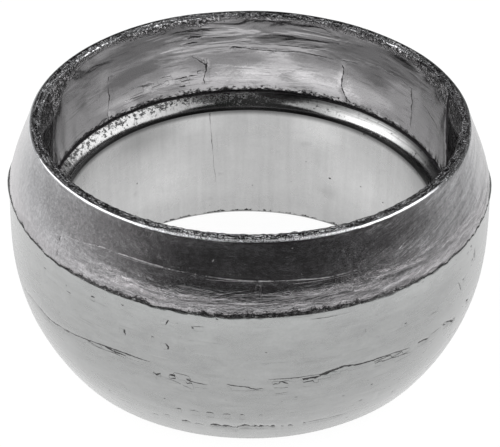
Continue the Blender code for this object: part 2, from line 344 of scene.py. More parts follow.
# %% Level cracks outside
LEVEL_CRACKS = (
    ((-158, 14.3, 0.05), (-150.5, 15.0, 0.08), (-146.5, 14.8, 0.12), (-143, 14.5, 0.18), (-139.6, 14.8, 0.14),
     (-136.8, 15.0, 0.16), (-132.6, 15.4, 0.12), (-127.7, 16.0, 0.10), (-123.3, 16.3, 0.15),
     (-120, 16.45, 0.18), (-117, 16.5, 0.15), (-114, 16.4, 0.08), (-111.7, 16.4, 0.03)),
    ((-128.3, 15.4, 0.02), (-124.8, 15.5, 0.06), (-121, 15.8, 0.07), (-117.7, 15.5, 0.02)),
    ((-111.6, 14.8, 0.05), (-111.1, 14.3, 0.20), (-110.6, 14.2, 0.16), (-109.8, 14.6, 0.22),
     (-109.3, 14.6, 0.02)),
    ((-107.5, 14.8, 0.05), (-107, 14.8, 0.22), (-106.3, 14.76, 0.18), (-105.8, 14.7, 0.02)),
    ((-106.4, 15.43, 0.03), (-104.5, 15.35, 0.07), (-102.9, 15.20, 0.03)),
    ((-103.9, 14.5, 0.10), (-102.8, 14.3, 0.18), (-101.5, 14.15, 0.10), (-100.7, 14.1, 0.10),
     (-99, 14.0, 0.03)),
    ((-109.1, 14.1, 0.02), (-106.3, 13.85, 0.05), (-104, 13.2, 0.05), (-101.7, 12.7, 0.02)),
    ((-94.8, 14.5, 0.05), (-93.4, 14.3, 0.10), (-92.1, 14.1, 0.14), (-90.8, 14.1, 0.10), (-89.4, 13.9, 0.12),
     (-88.1, 13.6, 0.14), (-87.2, 13.8, 0.08), (-86.1, 13.8, 0.02)),
    ((-85.5, 15.49, 0.03), (-82.8, 15.48, 0.06), (-79.3, 15.41, 0.07), (-76.4, 15.46, 0.06),
     (-73.6, 15.45, 0.02)),
    ((-84.4, 14.5, 0.05), (-83.9, 14.55, 0.16), (-83.2, 14.6, 0.03), (-82.8, 14.9, 0.18), (-82, 14.8, 0.14),
     (-81.5, 14.5, 0.22), (-80.9, 14.5, 0.03)),
    ((-78, 14.9, 0.10), (-77.6, 14.9, 0.34), (-76.2, 14.84, 0.36), (-74.6, 14.82, 0.38), (-72.8, 15.2, 0.36),
     (-70.8, 15.43, 0.40), (-68.2, 15.85, 0.26), (-64.9, 15.5, 0.18), (-61.9, 15.44, 0.12),
     (-59.1, 15.41, 0.16), (-56, 15.3, 0.12), (-52.6, 14.95, 0.12), (-50.5, 14.83, 0.03)),
    ((-60.6, 14.6, 0.05), (-59.4, 14.63, 0.30), (-58.4, 14.58, 0.20), (-57.8, 14.5, 0.05),
     (-55.7, 14.46, 0.09), (-52.7, 14.1, 0.08), (-49.3, 13.7, 0.03)),
    ((-48.2, 14.8, 0.03), (-47.6, 14.76, 0.18), (-46.2, 14.6, 0.24), (-44.8, 14.4, 0.20),
     (-44.3, 14.4, 0.03)),
    ((-43.9, 14.9, 0.03), (-41.7, 14.83, 0.08), (-39.8, 14.91, 0.03)),
    ((-39.2, 14.8, 0.06), (-38.6, 14.75, 0.26), (-37.6, 14.5, 0.10), (-37.1, 14.7, 0.32), (-36.2, 14.5, 0.14),
     (-35.3, 14.2, 0.28), (-34.6, 13.8, 0.30), (-34.0, 13.7, 0.10), (-33.7, 14.0, 0.26), (-33.3, 14.0, 0.03)),
    ((-38.9, 15.2, 0.03), (-38.4, 15.1, 0.18), (-37.8, 15.0, 0.03)),
    ((-28, 14.8, 0.03), (-27.2, 14.6, 0.24), (-26.4, 14.4, 0.20), (-25.6, 14.2, 0.03)),
    ((-77.9, 13.5, 0.02), (-76.5, 13.43, 0.05), (-75.3, 13.45, 0.02)),
    ((-84.3, 12.63, 0.02), (-82.3, 12.71, 0.05), (-80.5, 12.98, 0.02)),
    ((-76.6, 24.92, 0.02), (-74.4, 24.84, 0.06), (-72.1, 24.80, 0.06), (-70.3, 24.86, 0.02)),
    ((-102.3, 23.75, 0.02), (-100.8, 23.86, 0.06), (-99.5, 23.93, 0.02)),
    ((-45.9, 18.79, 0.02), (-43.9, 18.72, 0.06), (-41.9, 18.65, 0.02)),
    ((20, 15.2, 0.05), (32, 15.6, 0.20), (45, 15.0, 0.26), (52, 14.8, 0.10), (58, 14.6, 0.05)),
    ((110, 14.6, 0.05), (122, 15.3, 0.18), (136, 15.8, 0.12), (150, 15.0, 0.05)),
    ((75, 5.0, 0.05), (86, 4.8, 0.20), (100, 5.0, 0.05)),
)
print(len(LEVEL_CRACKS), "level cracks outside")

# %% Pits and short dashes outside
# Columns: bearing, height, half length in degrees, opening.
PITS = (
    (-143, 23.3, 0.7, 0.12), (-134, 22.4, 1.2, 0.10), (-126.5, 23.8, 0.7, 0.16), (-111.2, 20.8, 0.5, 0.18),
    (-31.2, 20.0, 0.6, 0.26), (-28, 24.4, 0.6, 0.30), (-26.5, 21.6, 0.8, 0.26), (-25.4, 21.9, 0.6, 0.30),
    (-63.6, 21.5, 0.4, 0.16), (-52.6, 19.7, 0.4, 0.20), (-51.4, 8.8, 0.4, 0.24), (-51.4, 5.8, 0.5, 0.26),
    (-67.4, 10.0, 0.5, 0.18), (-46.6, 12.2, 0.5, 0.18), (-79, 11.6, 0.5, 0.12), (-121, 11.0, 0.6, 0.12),
    (-129.6, 6.3, 0.5, 0.20), (-125.8, 6.5, 0.6, 0.18), (-137.8, 17.8, 0.4, 0.14), (-33.0, 10.6, 0.5, 0.20),
    (40, 21.0, 0.7, 0.30), (43, 20.6, 0.8, 0.26), (128, 19.2, 0.9, 0.30), (160, 22.2, 0.6, 0.26),
    (77, 11.0, 0.8, 0.24), (15, 9.0, 0.6, 0.22), (170, 10.5, 0.7, 0.20),
)
FOOT_DASHES = (
    (-113.4, 4.6, 1.1, 0.12), (-110, 5.4, 0.9, 0.10), (-105.2, 4.73, 1.4, 0.24), (-102.0, 4.6, 1.4, 0.20),
    (-97.7, 4.8, 1.7, 0.42), (-95.1, 4.75, 1.9, 0.34), (-93.0, 4.55, 0.8, 0.30), (-90.4, 4.94, 2.2, 0.48),
    (-88.1, 4.95, 1.1, 0.46), (-86.5, 4.9, 0.9, 0.40), (-85.2, 5.0, 0.5, 0.34), (-83.6, 4.77, 0.8, 0.40),
    (-81.4, 4.6, 0.6, 0.26), (-79.5, 4.67, 0.8, 0.26), (-75.7, 4.8, 0.5, 0.24), (-72.4, 4.87, 3.0, 0.10),
    (-67.0, 4.8, 3.0, 0.07), (-106.1, 7.86, 0.9, 0.14), (-102.4, 8.05, 1.2, 0.18), (-98.7, 8.12, 1.1, 0.28),
    (-94.7, 8.12, 1.0, 0.22), (-91.2, 8.05, 0.8, 0.20), (-87.0, 8.1, 0.6, 0.08), (-62, 7.4, 0.7, 0.10),
    (-57, 7.2, 0.8, 0.12),
)
print(len(PITS + FOOT_DASHES), "pits and dashes")

# %% Level lines on the grid
REACH = 0.9 * MM
level_side = np.full_like(grid_r, FAR)
level_open = np.zeros_like(grid_r)


def keep_nearest(side, size, where, lines, reach):
    """Keeps a line's distance and opening at the points to which it is the nearest within reach."""
    sides, openings = lines
    nearest = where & (size > 0) & (np.abs(side) < np.minimum(np.abs(sides), reach))
    sides[:] = np.where(nearest, side, sides)
    openings[:] = np.where(nearest, size * MM, openings)


def add_level(points, where, lines, reach=REACH):
    """Adds a level line: straight runs of height over bearing, and how far above them each point is."""
    at, heights, sizes = np.array(points).T
    path = np.interp(bearing, at, heights)
    size = np.interp(bearing, at, sizes, left=0, right=0)
    keep_nearest(grid_z - path * MM, size, where, lines, reach)


level_lines = (level_side, level_open)
for crack in LEVEL_CRACKS:
    add_level(crack, is_outside, level_lines)
for at, height, half, size in PITS + FOOT_DASHES:
    pit = ((at - half, height, 0.02), (at, height, size), (at + half, height, 0.02))
    add_level(pit, is_outside, level_lines)
push -= 0.9 * level_open * tent(level_side, 0.16 * MM + level_open / 2)
print("level cracks open up to %.2f mm" % (level_open.max() / MM))

# %% Level cracks inside
HATCHES = (
    ((106.5, 25.7, 0.02), (109, 25.7, 0.13), (112, 25.6, 0.08), (116, 25.5, 0.02)),
    ((108.6, 24.2, 0.02), (111, 24.1, 0.09), (113, 24.0, 0.02)),
    ((109.5, 25.0, 0.02), (113, 24.9, 0.08), (117, 24.9, 0.02)),
    ((104.5, 26.4, 0.02), (107, 26.4, 0.09), (110, 26.5, 0.02)),
    ((117.5, 25.3, 0.02), (121, 25.2, 0.07), (125, 25.2, 0.02)),
    ((112, 26.4, 0.02), (116, 26.4, 0.07), (120, 26.3, 0.02)),
    ((121, 26.0, 0.02), (125, 26.0, 0.07), (130, 26.1, 0.02)),
    ((122, 24.3, 0.02), (127, 24.4, 0.08), (133, 24.6, 0.02)),
    ((105, 33.4, 0.02), (107, 33.5, 0.20), (109, 33.3, 0.02)),
    ((104.5, 32.4, 0.02), (107, 32.3, 0.16), (110, 32.4, 0.02)),
    ((105, 31.4, 0.02), (108, 31.5, 0.12), (112, 31.3, 0.02)),
    ((62, 29.7, 0.03), (68, 29.7, 0.07), (75, 29.8, 0.06), (83, 29.5, 0.08), (90, 29.7, 0.07),
     (94, 30.0, 0.10), (95.2, 30.1, 0.24), (96.6, 30.0, 0.03)),
    ((15, 27.2, 0.02), (20, 28.2, 0.08), (26, 29.0, 0.07), (32, 29.4, 0.02)),
    ((34, 30.4, 0.02), (42, 30.9, 0.06), (50, 31.0, 0.02)),
)
for crack in HATCHES:
    add_level(crack, is_inside, level_lines)
print(len(HATCHES), "level cracks inside")

# %% [markdown]
# Upright cracks run down the socket wall and the bore. They work the same way, with the
# bearing read over the height, and the distance to them measured round the ring.

# %% Upright cracks
# The points of each: height in millimetres, bearing in degrees, opening in millimetres.
UPRIGHT_CRACKS = (
    ((22.6, 138.4, 0.02), (23.7, 139.4, 0.07), (24.1, 139.2, 0.02), (25.3, 138.6, 0.05), (26.5, 137.8, 0.10),
     (27.0, 138.0, 0.01), (27.4, 138.3, 0.11), (28.2, 138.0, 0.01), (29.2, 137.9, 0.02), (29.8, 137.5, 0.14),
     (30.2, 138.2, 0.02)),
    ((24.0, 104.4, 0.04), (24.9, 104.7, 0.12), (25.9, 104.2, 0.05), (26.5, 103.8, 0.22), (27.3, 103.6, 0.16),
     (27.8, 103.7, 0.03), (29.0, 103.6, 0.02)),
    ((27.1, 103.7, 0.10), (27.5, 104.6, 0.24), (27.7, 105.0, 0.08), (28.1, 105.9, 0.20), (28.4, 106.6, 0.05),
     (28.9, 107.7, 0.22), (29.1, 108.3, 0.05), (29.4, 109.4, 0.10)),
    ((22.8, 56.5, 0.05), (23.5, 59.0, 0.16), (24.5, 59.9, 0.12), (25.5, 61.1, 0.20), (26.3, 60.4, 0.06),
     (26.7, 60.9, 0.24), (27.6, 60.3, 0.10), (28.4, 60.2, 0.16), (29.0, 60.9, 0.08), (29.6, 61.2, 0.03)),
    ((24.0, 32.5, 0.04), (25.4, 33.0, 0.10), (26.6, 32.8, 0.04), (27.3, 33.6, 0.14), (28.1, 32.9, 0.06),
     (28.9, 33.8, 0.12), (30.6, 34.2, 0.03)),
    ((24.6, 7.6, 0.30), (28.0, 10.8, 0.24), (31.3, 13.2, 0.08)),
    ((4.8, 101.7, 0.01), (6.8, 101.9, 0.02), (7.3, 102.2, 0.24), (7.8, 101.9, 0.03), (8.6, 102.3, 0.02),
     (9.0, 101.9, 0.22), (9.4, 102.5, 0.02), (10.4, 102.2, 0.17), (10.9, 102.5, 0.02), (11.8, 102.6, 0.08),
     (12.6, 102.7, 0.02), (14.4, 103.0, 0.055), (15.4, 103.1, 0.02), (16.4, 103.3, 0.055),
     (17.4, 103.6, 0.01), (18.4, 103.6, 0.06), (19.8, 103.7, 0.05)),
    ((7.3, 100.4, 0.01), (7.6, 100.5, 0.18), (7.9, 100.4, 0.01)),
    ((8.0, 103.7, 0.01), (8.3, 103.8, 0.18), (8.6, 103.7, 0.01)),
    ((9.6, 100.8, 0.01), (9.9, 100.9, 0.14), (10.2, 100.8, 0.01)),
    ((23.0, -40, 0.12), (27.0, -41.5, 0.18), (31.0, -40.4, 0.05)),
    ((22.8, -118, 0.10), (27.0, -117, 0.20), (29.5, -118.4, 0.05)),
)
OUTSIDE_CRACKS = (
    ((19.7, -117.8, 0.03), (20.0, -118.0, 0.18), (20.3, -118.3, 0.16), (20.6, -118.0, 0.18),
     (20.9, -118.2, 0.03)),
    ((18.9, -107.4, 0.03), (19.2, -107.6, 0.20), (19.6, -107.6, 0.30), (19.9, -107.9, 0.34),
     (20.3, -108.1, 0.05)),
    ((23.2, -108.1, 0.03), (23.6, -107.8, 0.14), (24.0, -107.5, 0.12), (24.3, -107.4, 0.03)),
    ((18.5, -32.2, 0.03), (19.2, -32.7, 0.14), (19.8, -33.1, 0.10), (20.9, -34.4, 0.03)),
    ((26.8, -138.2, 0.03), (27.4, -138.6, 0.08), (28.0, -138.3, 0.01), (28.9, -138.2, 0.02),
     (29.2, -138.8, 0.14), (29.6, -138.4, 0.05), (29.8, -139, 0.14), (30.1, -138.6, 0.01)),
    ((28.4, -87.4, 0.05), (29.4, -87.2, 0.10), (30.5, -87.4, 0.05)),
    ((27.0, 52, 0.05), (28.6, 52.8, 0.14), (30.2, 52.2, 0.05)),
)
print(len(UPRIGHT_CRACKS), "upright cracks inside and", len(OUTSIDE_CRACKS), "outside")

# %% Upright lines on the grid
upright_side = np.full_like(grid_r, FAR)
upright_open = np.zeros_like(grid_r)


def add_upright(points, where):
    """Adds an upright line: straight runs of bearing over height, and the arc from them to each point."""
    heights, at, sizes = np.array(points).T
    path = np.interp(grid_z / MM, heights, at)
    size = np.interp(grid_z / MM, heights, sizes, left=0, right=0)
    arc = np.radians(degrees_from(path)) * grid_r
    keep_nearest(arc, size, where, (upright_side, upright_open), REACH)


for crack in UPRIGHT_CRACKS:
    add_upright(crack, is_inside)
for crack in OUTSIDE_CRACKS:
    add_upright(crack, is_outside)
push -= 0.6 * upright_open * tent(upright_side, 0.25 * MM)
print("upright cracks open up to %.2f mm" % (upright_open.max() / MM))

# %% [markdown]
# Folds. Where the sheet was laid over itself it left fine raised lines. On the taper one runs
# along most of the front, and a few short ones cross it. They use the chains of the cracks,
# but stand up on the taper, and in the socket they sink a little.

# %% Folds on the taper and in the socket
FOLDS = (
    ((-138, 30.2, 0.05), (-134, 30.3, 0.10), (-126, 31.2, 0.12), (-118, 31.3, 0.14), (-110, 31.2, 0.14),
     (-101, 31.0, 0.10), (-95, 30.8, 0.16), (-90, 30.7, 0.20), (-84, 30.6, 0.14), (-78, 30.5, 0.18),
     (-72, 30.3, 0.18), (-66, 30.4, 0.12), (-62, 30.3, 0.05)),
    ((-122, 32.9, 0.04), (-119, 33.4, 0.10), (-116, 34.0, 0.04)),
    ((-56, 30.9, 0.04), (-53, 31.2, 0.12), (-50.5, 31.9, 0.04)),
    ((-50.2, 31.1, 0.04), (-49, 31.4, 0.10), (-48, 31.8, 0.04)),
    ((-62, 33.4, 0.03), (-56, 33.6, 0.06), (-50, 34.0, 0.08), (-46, 34.2, 0.03)),
    ((30, 31.0, 0.05), (60, 30.6, 0.14), (95, 31.2, 0.16), (130, 30.8, 0.05)),
)
SOCKET_FOLDS = (
    ((45, 30.9, 0.05), (52, 30.4, 0.14), (62, 30.0, 0.20), (75, 29.8, 0.24), (88, 29.7, 0.20),
     (95, 29.8, 0.40), (97, 30.1, 0.10)),
    ((60, 30.9, 0.05), (74, 30.8, 0.20), (90, 30.7, 0.20), (95, 30.4, 0.10)),
    ((106, 24.95, 0.10), (110, 25.1, 0.30), (117, 24.7, 0.10)),
    ((106, 24.1, 0.10), (110, 24.2, 0.26), (113, 24.0, 0.10)),
    ((107, 25.7, 0.10), (111, 25.75, 0.20), (114, 25.6, 0.10)),
    ((106, 33.6, 0.10), (109, 33.8, 0.40), (113, 33.7, 0.10)),
    ((-70, 31.0, 0.10), (-40, 30.4, 0.24), (-10, 31.2, 0.10)),
    ((-150, 30.4, 0.10), (-125, 31.2, 0.24), (-100, 30.6, 0.10)),
)
FOLD_REACH = 0.45 * MM
FOLD_RISE = 0.10
FOLD_SINK = 0.12
fold_side = np.full_like(grid_r, FAR)
fold_size = np.zeros_like(grid_r)
for fold in FOLDS:
    add_level(fold, is_outside & (grid_z > WAIST_HEIGHT), (fold_side, fold_size), FOLD_REACH)
for fold in SOCKET_FOLDS:
    add_level(fold, is_inside & (grid_z > STEP_HEIGHT), (fold_side, fold_size), FOLD_REACH)
push += np.where(is_outside, FOLD_RISE, -FOLD_SINK) * fold_size * tent(fold_side, 0.22 * MM)
print(len(FOLDS) + len(SOCKET_FOLDS), "folds")

# %% [markdown]
# The rim and the step. At the rim the wound layers end, so it is torn and grainy, with a
# groove between two layers. Over the step the socket's lining ends in a frayed edge.

# %% Rim and step
RIM_GRAIN = 0.022
FACE_PITS = 0.035 * MM
GROOVE_DEPTH = 0.20 * MM
GROOVE_LOBES = ((168, 26, 0.9), (-168, 12, 0.5), (-60, 25, 0.3), (60, 20, 0.4))
LIP_CURL = 0.06 * MM
on_rim = on_zone("rim")
on_flat = on_rim & (grid_z > HEIGHT - 0.15 * MM)
torn_face = 1 - ramp_up(grid_r, RIM_FLAT[1] - 0.15 * MM, RIM_FLAT[1] + 0.05 * MM)
push += np.where(on_rim, (0.003 + RIM_GRAIN * torn_face) * MM * bumps(1.0 * MM, 31), 0)
push += np.where(on_flat, FACE_PITS * torn_face * (bumps(0.9 * MM, 32) - 0.6), 0)
groove = RIM_FLAT[0] + 0.42 * MM + 0.12 * MM * ripple((2, 3, 5), 33)
groove_open = lobes(GROOVE_LOBES, 0.15)
push -= np.where(on_flat, GROOVE_DEPTH * groove_open * tent(grid_r - groove, 0.12 * MM), 0)
lip_height = np.where(is_inside, grid_z - STEP_HEIGHT, FAR)
near_lip = np.where(is_inside, tent(lip_height - 0.35 * MM, 0.35 * MM), 0)
push += near_lip * 0.02 * MM * bumps(1.1 * MM, 34)
lift = near_lip * LIP_CURL * bumps(2.6 * MM, 35)
print("rim rows", int(on_flat.sum() / COLUMNS))

# %% [markdown]
# The socket's lining is a sheet bent into a ring. At two places it lies under the next turn:
# there the wall sits a little deeper, behind a sharp upright edge, and is painted dark as shade.
# Painted dark and light soft patches stand for reflections on the walls, and a few darker
# patches lie in the bore. Each is a number on the mesh, which the materials read.

# %% Painted dark patches and painted reflections
# Columns: bearing, height, half width in degrees, half height in millimetres, strength.
# Painted dark patches: darker reflections on the socket wall, and darker patches in the bore.
CLOUDS = (
    (134, 28.0, 7, 1.1, 0.9), (126, 28.7, 7, 1.0, 0.9), (118, 29.4, 6, 0.8, 0.9), (150, 27.6, 8, 2.0, 0.4),
    (130, 32.6, 15, 2.2, 1.0), (114, 33.8, 8, 1.0, 0.8), (52, 31.6, 15, 2.4, 1.0), (48, 28.6, 8, 1.8, 0.6),
    (78, 31.5, 7, 0.5, 0.9), (80, 33.6, 20, 0.4, 0.6), (130, 18.0, 12, 2.6, 0.35), (62, 6.35, 4, 0.5, 0.16),
    (40, 32.6, 10, 2.0, 1.0), (84, 31.6, 22, 1.4, 0.50), (150, 31.0, 10, 3.0, 0.25),
    (-30, 28.6, 10, 1.5, 0.8), (-75, 29.4, 14, 1.2, 0.8), (-110, 28.4, 9, 1.6, 0.7),
    (-150, 29.0, 12, 1.4, 0.7),
)
# Painted reflections inside: patches that raise the tone, and a negative strength lowers it.
SHINES = (
    (121, 30.7, 8, 0.45, 0.9), (112, 30.8, 4, 0.40, 0.8), (92, 25.4, 15, 2.2, 1.1), (66, 26.0, 14, 2.0, 1.2),
    (50, 25.0, 9, 1.4, 1.3), (118, 25.6, 8, 1.3, 0.8), (134, 24.8, 11, 0.9, 1.1), (92, 33.4, 9, 0.6, 0.9),
    (84, 29.0, 10, 0.7, 0.7), (66, 18.0, 9, 3.0, 0.35), (108, 18.5, 6, 2.5, 0.25), (50, 10.0, 16, 5.0, 0.20),
    (122, 8.0, 14, 5.0, 0.20), (-55, 26.0, 20, 2.0, 0.9), (-100, 26.4, 16, 1.8, 0.8),
)
# Painted reflections outside, on the ball and the taper, lighter and darker.
OUTER_SHINES = (
    (-172, 23.5, 9, 4.5, 0.42), (-40, 3.5, 14, 2.5, 0.18), (-138, 3.2, 11, 3.5, 0.20),
    (-48, 24.8, 12, 2.0, 0.16), (-120, 4.0, 24, 3.0, 0.12), (-86, 24.6, 30, 1.2, 0.06),
    (-126, 29.0, 12, 1.6, 0.18), (-49, 30.2, 9, 1.4, 0.62), (-34, 33.0, 7, 2.0, 0.25),
    (-48, 33.6, 8, 1.7, -0.20), (-124, 34.4, 8, 1.0, -0.15), (-154, 33.6, 12, 2.8, -0.15),
    (-32, 34.4, 6, 1.3, 0.12), (-95, 25.2, 45, 1.6, 0.05), (-138, 15.0, 22, 5.0, -0.03),
    (-56, 32.2, 6, 1.2, -0.12), (-48, 24.8, 16, 1.0, 0.04),
)


def soft_patches(spots, where):
    """Smooth patches, each a size times a bell of bearing and a bell of height in millimetres."""
    total = np.zeros_like(grid_r)
    for at, height, half_bearing, half_height, size in spots:
        across = tent(degrees_from(at), half_bearing)
        total += np.where(where, size * across * tent(grid_z / MM - height, half_height), 0)
    return total


cloud = soft_patches(CLOUDS, is_inside)
shine = soft_patches(SHINES, is_inside) + soft_patches(OUTER_SHINES, is_outside)
print(len(CLOUDS), "clouds and", len(SHINES + OUTER_SHINES), "shines")

# %% Laps of the lining
LAP_DEPTH = 0.06 * MM
LAP_FADED = 30
on_socket = on_zone("socket")
left_edge = np.interp(grid_z / MM, (24.8, 26.8, 28.2, 30.8, 32.6, 34.2),
                      (171.0, 170.1, 169.1, 167.5, 168.3, 169.2))
right_edge = np.interp(grid_z / MM, (22, 24.6, 28.0, 31.3), (6.5, 7.6, 10.8, 13.2))


def lies_under(degrees, dark_for):
    """How far the wall lies under a lap: 1 from just past its edge, and fading out by 30 degrees."""
    return ramp_up(degrees, 0, 0.7) * (1 - ramp_up(degrees, dark_for, LAP_FADED))


under = lies_under((bearing - left_edge) % 360, 12) + lies_under((right_edge - bearing) % 360, 14)
under = np.where(is_inside & (grid_z > STEP_HEIGHT), under, 0)
push -= np.where(on_socket, LAP_DEPTH * under, 0) * ramp_up(grid_z, STEP_HEIGHT, STEP_HEIGHT + MM)
lap_line = tent(degrees_from(left_edge), 0.45) + tent(degrees_from(right_edge), 0.95)
lap_line = np.where(is_inside & (grid_z > STEP_HEIGHT + 0.5 * MM), lap_line, 0)
print("share of the socket that lies under: %.2f" % under[on_socket[:, 0]].mean())

# %% Lobes round the ring
# Columns: bearing and half width in degrees, strength.
# Painted light on the step: how bright it is at each bearing.
STEP_TONES = ((47, 16, 1.28), (143, 34, 0.80), (88, 12, 0.88), (-90, 70, 0.80))
MOUTH_GLINTS = (
    (142, 8.0, 1.4), (121, 7.0, 0.8), (105, 8.0, 1.2), (43, 6.0, 1.1), (68, 3.0, 0.8), (58, 3.0, 0.8),
    (168, 13.0, 0.95), (12, 6.0, 0.4), (-7, 3.0, 0.2),
)
MOUTH_FRAYS = ((169, 13, 4.2), (-168, 12, 2.0), (9, 15, 3.2), (122, 10, 0.7), (106, 5, 1.0), (45, 20, 0.5))
glint = lobes(MOUTH_GLINTS, 0.0)
step_tone = lobes(STEP_TONES, 0.10)
fray = lobes(MOUTH_FRAYS, 0.35)
print("the lining frays %.1f to %.1f mm down" % (fray.min(), fray.max()))

# %% [markdown]
# Soft dents. A pressed ring is never quite true: slow waves of a few hundredths of a
# millimetre bend its reflections. The socket is the waviest, and above the seam the wrap
# is wrinkled along the ring.

# %% Soft dents
on_taper = on_zone("taper")
push += np.where(is_outside, 0.020, 0.010) * MM * bumps(13 * MM, 41)
push += np.where(on_taper, 0.008 * MM * bumps(4 * MM, 42), 0)
calmer_low = 0.35 + 0.65 * ramp_up(grid_z, STEP_HEIGHT + 3 * MM, HEIGHT - 5 * MM)
push += np.where(on_socket, 0.045 * MM * calmer_low * bumps(9 * MM, 43) + 0.012 * MM * bumps(3.5 * MM, 46), 0)
near_seam = np.where(on_taper, tent(seam_height - 1.3 * MM, 1.5 * MM), 0)
push += near_seam * 0.012 * MM * bumps(6 * MM, 44, flat=4.5)
push += near_seam * 0.005 * MM * bumps(2.4 * MM, 45, flat=3.0)
near_mouth = np.where(on_socket, ramp_up(grid_z, HEIGHT - 5.5 * MM, HEIGHT - 3 * MM), 0)
push += near_mouth * 0.025 * MM * bumps(9 * MM, 47, flat=5.0)
push = np.where(grid_z < 0.02 * MM, 0, push)
print("skin moves from %.2f to %.2f mm" % (push.min() / MM, push.max() / MM))

# %% [markdown]
# The skin is one closed sheet: rows close on themselves round the section and columns round
# the axis, so there is no edge, no pole and nothing to weld. Each quad lists its corners
# so that its face looks out of the ring.

# %% Build the skin
skin_r = grid_r + push * normal_r[:, None]
skin_z = np.maximum(grid_z + push * normal_z[:, None] + lift, 0)
points = np.stack([skin_r * np.cos(angle), skin_r * np.sin(angle), skin_z], axis=-1)
index = np.arange(ROWS * COLUMNS).reshape(ROWS, COLUMNS)
down = np.roll(index, -1, axis=0)
round_on = np.roll(index, -1, axis=1)
quads = np.stack([index, down, np.roll(down, -1, axis=1), round_on], axis=-1).reshape(-1, 4)

mesh = bpy.data.meshes.new("ring_skin")
mesh.vertices.add(ROWS * COLUMNS)
mesh.vertices.foreach_set("co", points.astype(np.float32).ravel())
mesh.loops.add(quads.size)
mesh.loops.foreach_set("vertex_index", quads.astype(np.int32).ravel())
mesh.polygons.add(len(quads))
mesh.polygons.foreach_set("loop_start", np.arange(0, quads.size, 4, dtype=np.int32))
mesh.polygons.foreach_set("material_index", np.repeat(row_zone, COLUMNS).astype(np.int32))
mesh.update(calc_edges=True)
mesh.shade_smooth()
skin = bpy.data.objects.new("ring_skin", mesh)
bpy.context.scene.collection.objects.link(skin)
print("skin", len(mesh.vertices), "points,", 2 * len(quads), "triangles, valid", not mesh.validate())

# %% Keep numbers on the skin for the materials
MOST = 5  # values past this many millimetres look the same
lengths = {
    "seam_height": seam_height, "seam_gap": seam_gap, "lip_height": lip_height,
    "level_side": level_side, "level_open": level_open, "upright_side": upright_side,
    "upright_open": upright_open, "fold_side": fold_side, "fold_size": fold_size,
}
kept = {name: values / MM for name, values in lengths.items()}
kept.update(under=under, fray=fray, cloud=cloud, shine=shine, lap_line=lap_line, glint=glint,
            step_tone=step_tone)
for name, values in kept.items():
    layer = mesh.attributes.new(name, "FLOAT", "POINT")
    whole = np.clip(np.broadcast_to(values, grid_r.shape), -MOST, MOST)
    layer.data.foreach_set("value", whole.astype(np.float32).ravel())
print("numbers on the skin:", ", ".join(kept))

# %% [markdown]
# Materials. Pressed graphite with steel wire in it looks like a dull grey metal, so every zone
# is the same Principled metal with its own tone, gloss and marks. A small helper class adds
# nodes in one line each, so that the recipes below read like sums.

# %% A helper for node trees
WHITE = (1, 1, 1, 1)
BLACK = (0, 0, 0, 1)


class Nodes:
    """A node tree under construction: each method adds a node or two and returns the output."""

    def __init__(self, tree):
        self.tree = tree

    def add(self, kind, **settings):
        """One node of a kind, with its settings."""
        node = self.tree.nodes.new("ShaderNode" + kind)
        for name, value in settings.items():
            setattr(node, name, value)
        return node

    def feed(self, socket, value):
        """Links an output to a socket, or sets the socket to a plain number or colour."""
        if isinstance(value, (int, float, tuple)):
            socket.default_value = value
        else:
            self.tree.links.new(value, socket)

    def fill(self, sockets, values):
        """Feeds sockets in their order."""
        for socket, value in zip(sockets, values):
            self.feed(socket, value)

    def wire(self, node, values):
        """Feeds sockets of a node by their names."""
        for name, value in values.items():
            self.feed(node.inputs[name], value)

    def sum(self, operation, first, second=0.0, third=0.0):
        """One Math node."""
        node = self.add("Math", operation=operation)
        self.fill(node.inputs, (first, second, third))
        return node.outputs[0]

    def both(self, first, *others):
        """Two or more factors multiplied, one after the other."""
        for other in others:
            first = self.sum("MULTIPLY", first, other)
        return first

    def either(self, first, second):
        """The larger of two masks."""
        return self.sum("MAXIMUM", first, second)

    def less(self, first, second):
        """The first less the second."""
        return self.sum("SUBTRACT", first, second)

    def line(self, value, slope, start):
        """The slope times the value, plus the start."""
        return self.sum("MULTIPLY_ADD", value, slope, start)

    def around_one(self, noise, amount):
        """A noise of 0 to 1 made a factor that varies by the amount on either side of 1."""
        return self.line(noise, 2 * amount, 1 - amount)

    def fade(self, value, low, high, at_low=0.0, at_high=1.0):
        """Smoothly maps the range low to high onto at_low to at_high."""
        node = self.add("MapRange", interpolation_type="SMOOTHSTEP")
        self.fill(node.inputs, (value, low, high, at_low, at_high))
        return node.outputs[0]

    def blend(self, factor, first, second):
        """Mixes two colours or outputs by a factor."""
        node = self.add("Mix", data_type="RGBA")
        self.fill([socket for socket in node.inputs if socket.enabled], (factor, first, second))
        return [output for output in node.outputs if output.enabled][0]

    def mix_shaders(self, factor, first, second):
        """One of two shaders, by a factor of 0 or 1 or between."""
        node = self.add("MixShader")
        self.fill(node.inputs, (factor, first, second))
        return node.outputs[0]


# %% A helper for materials


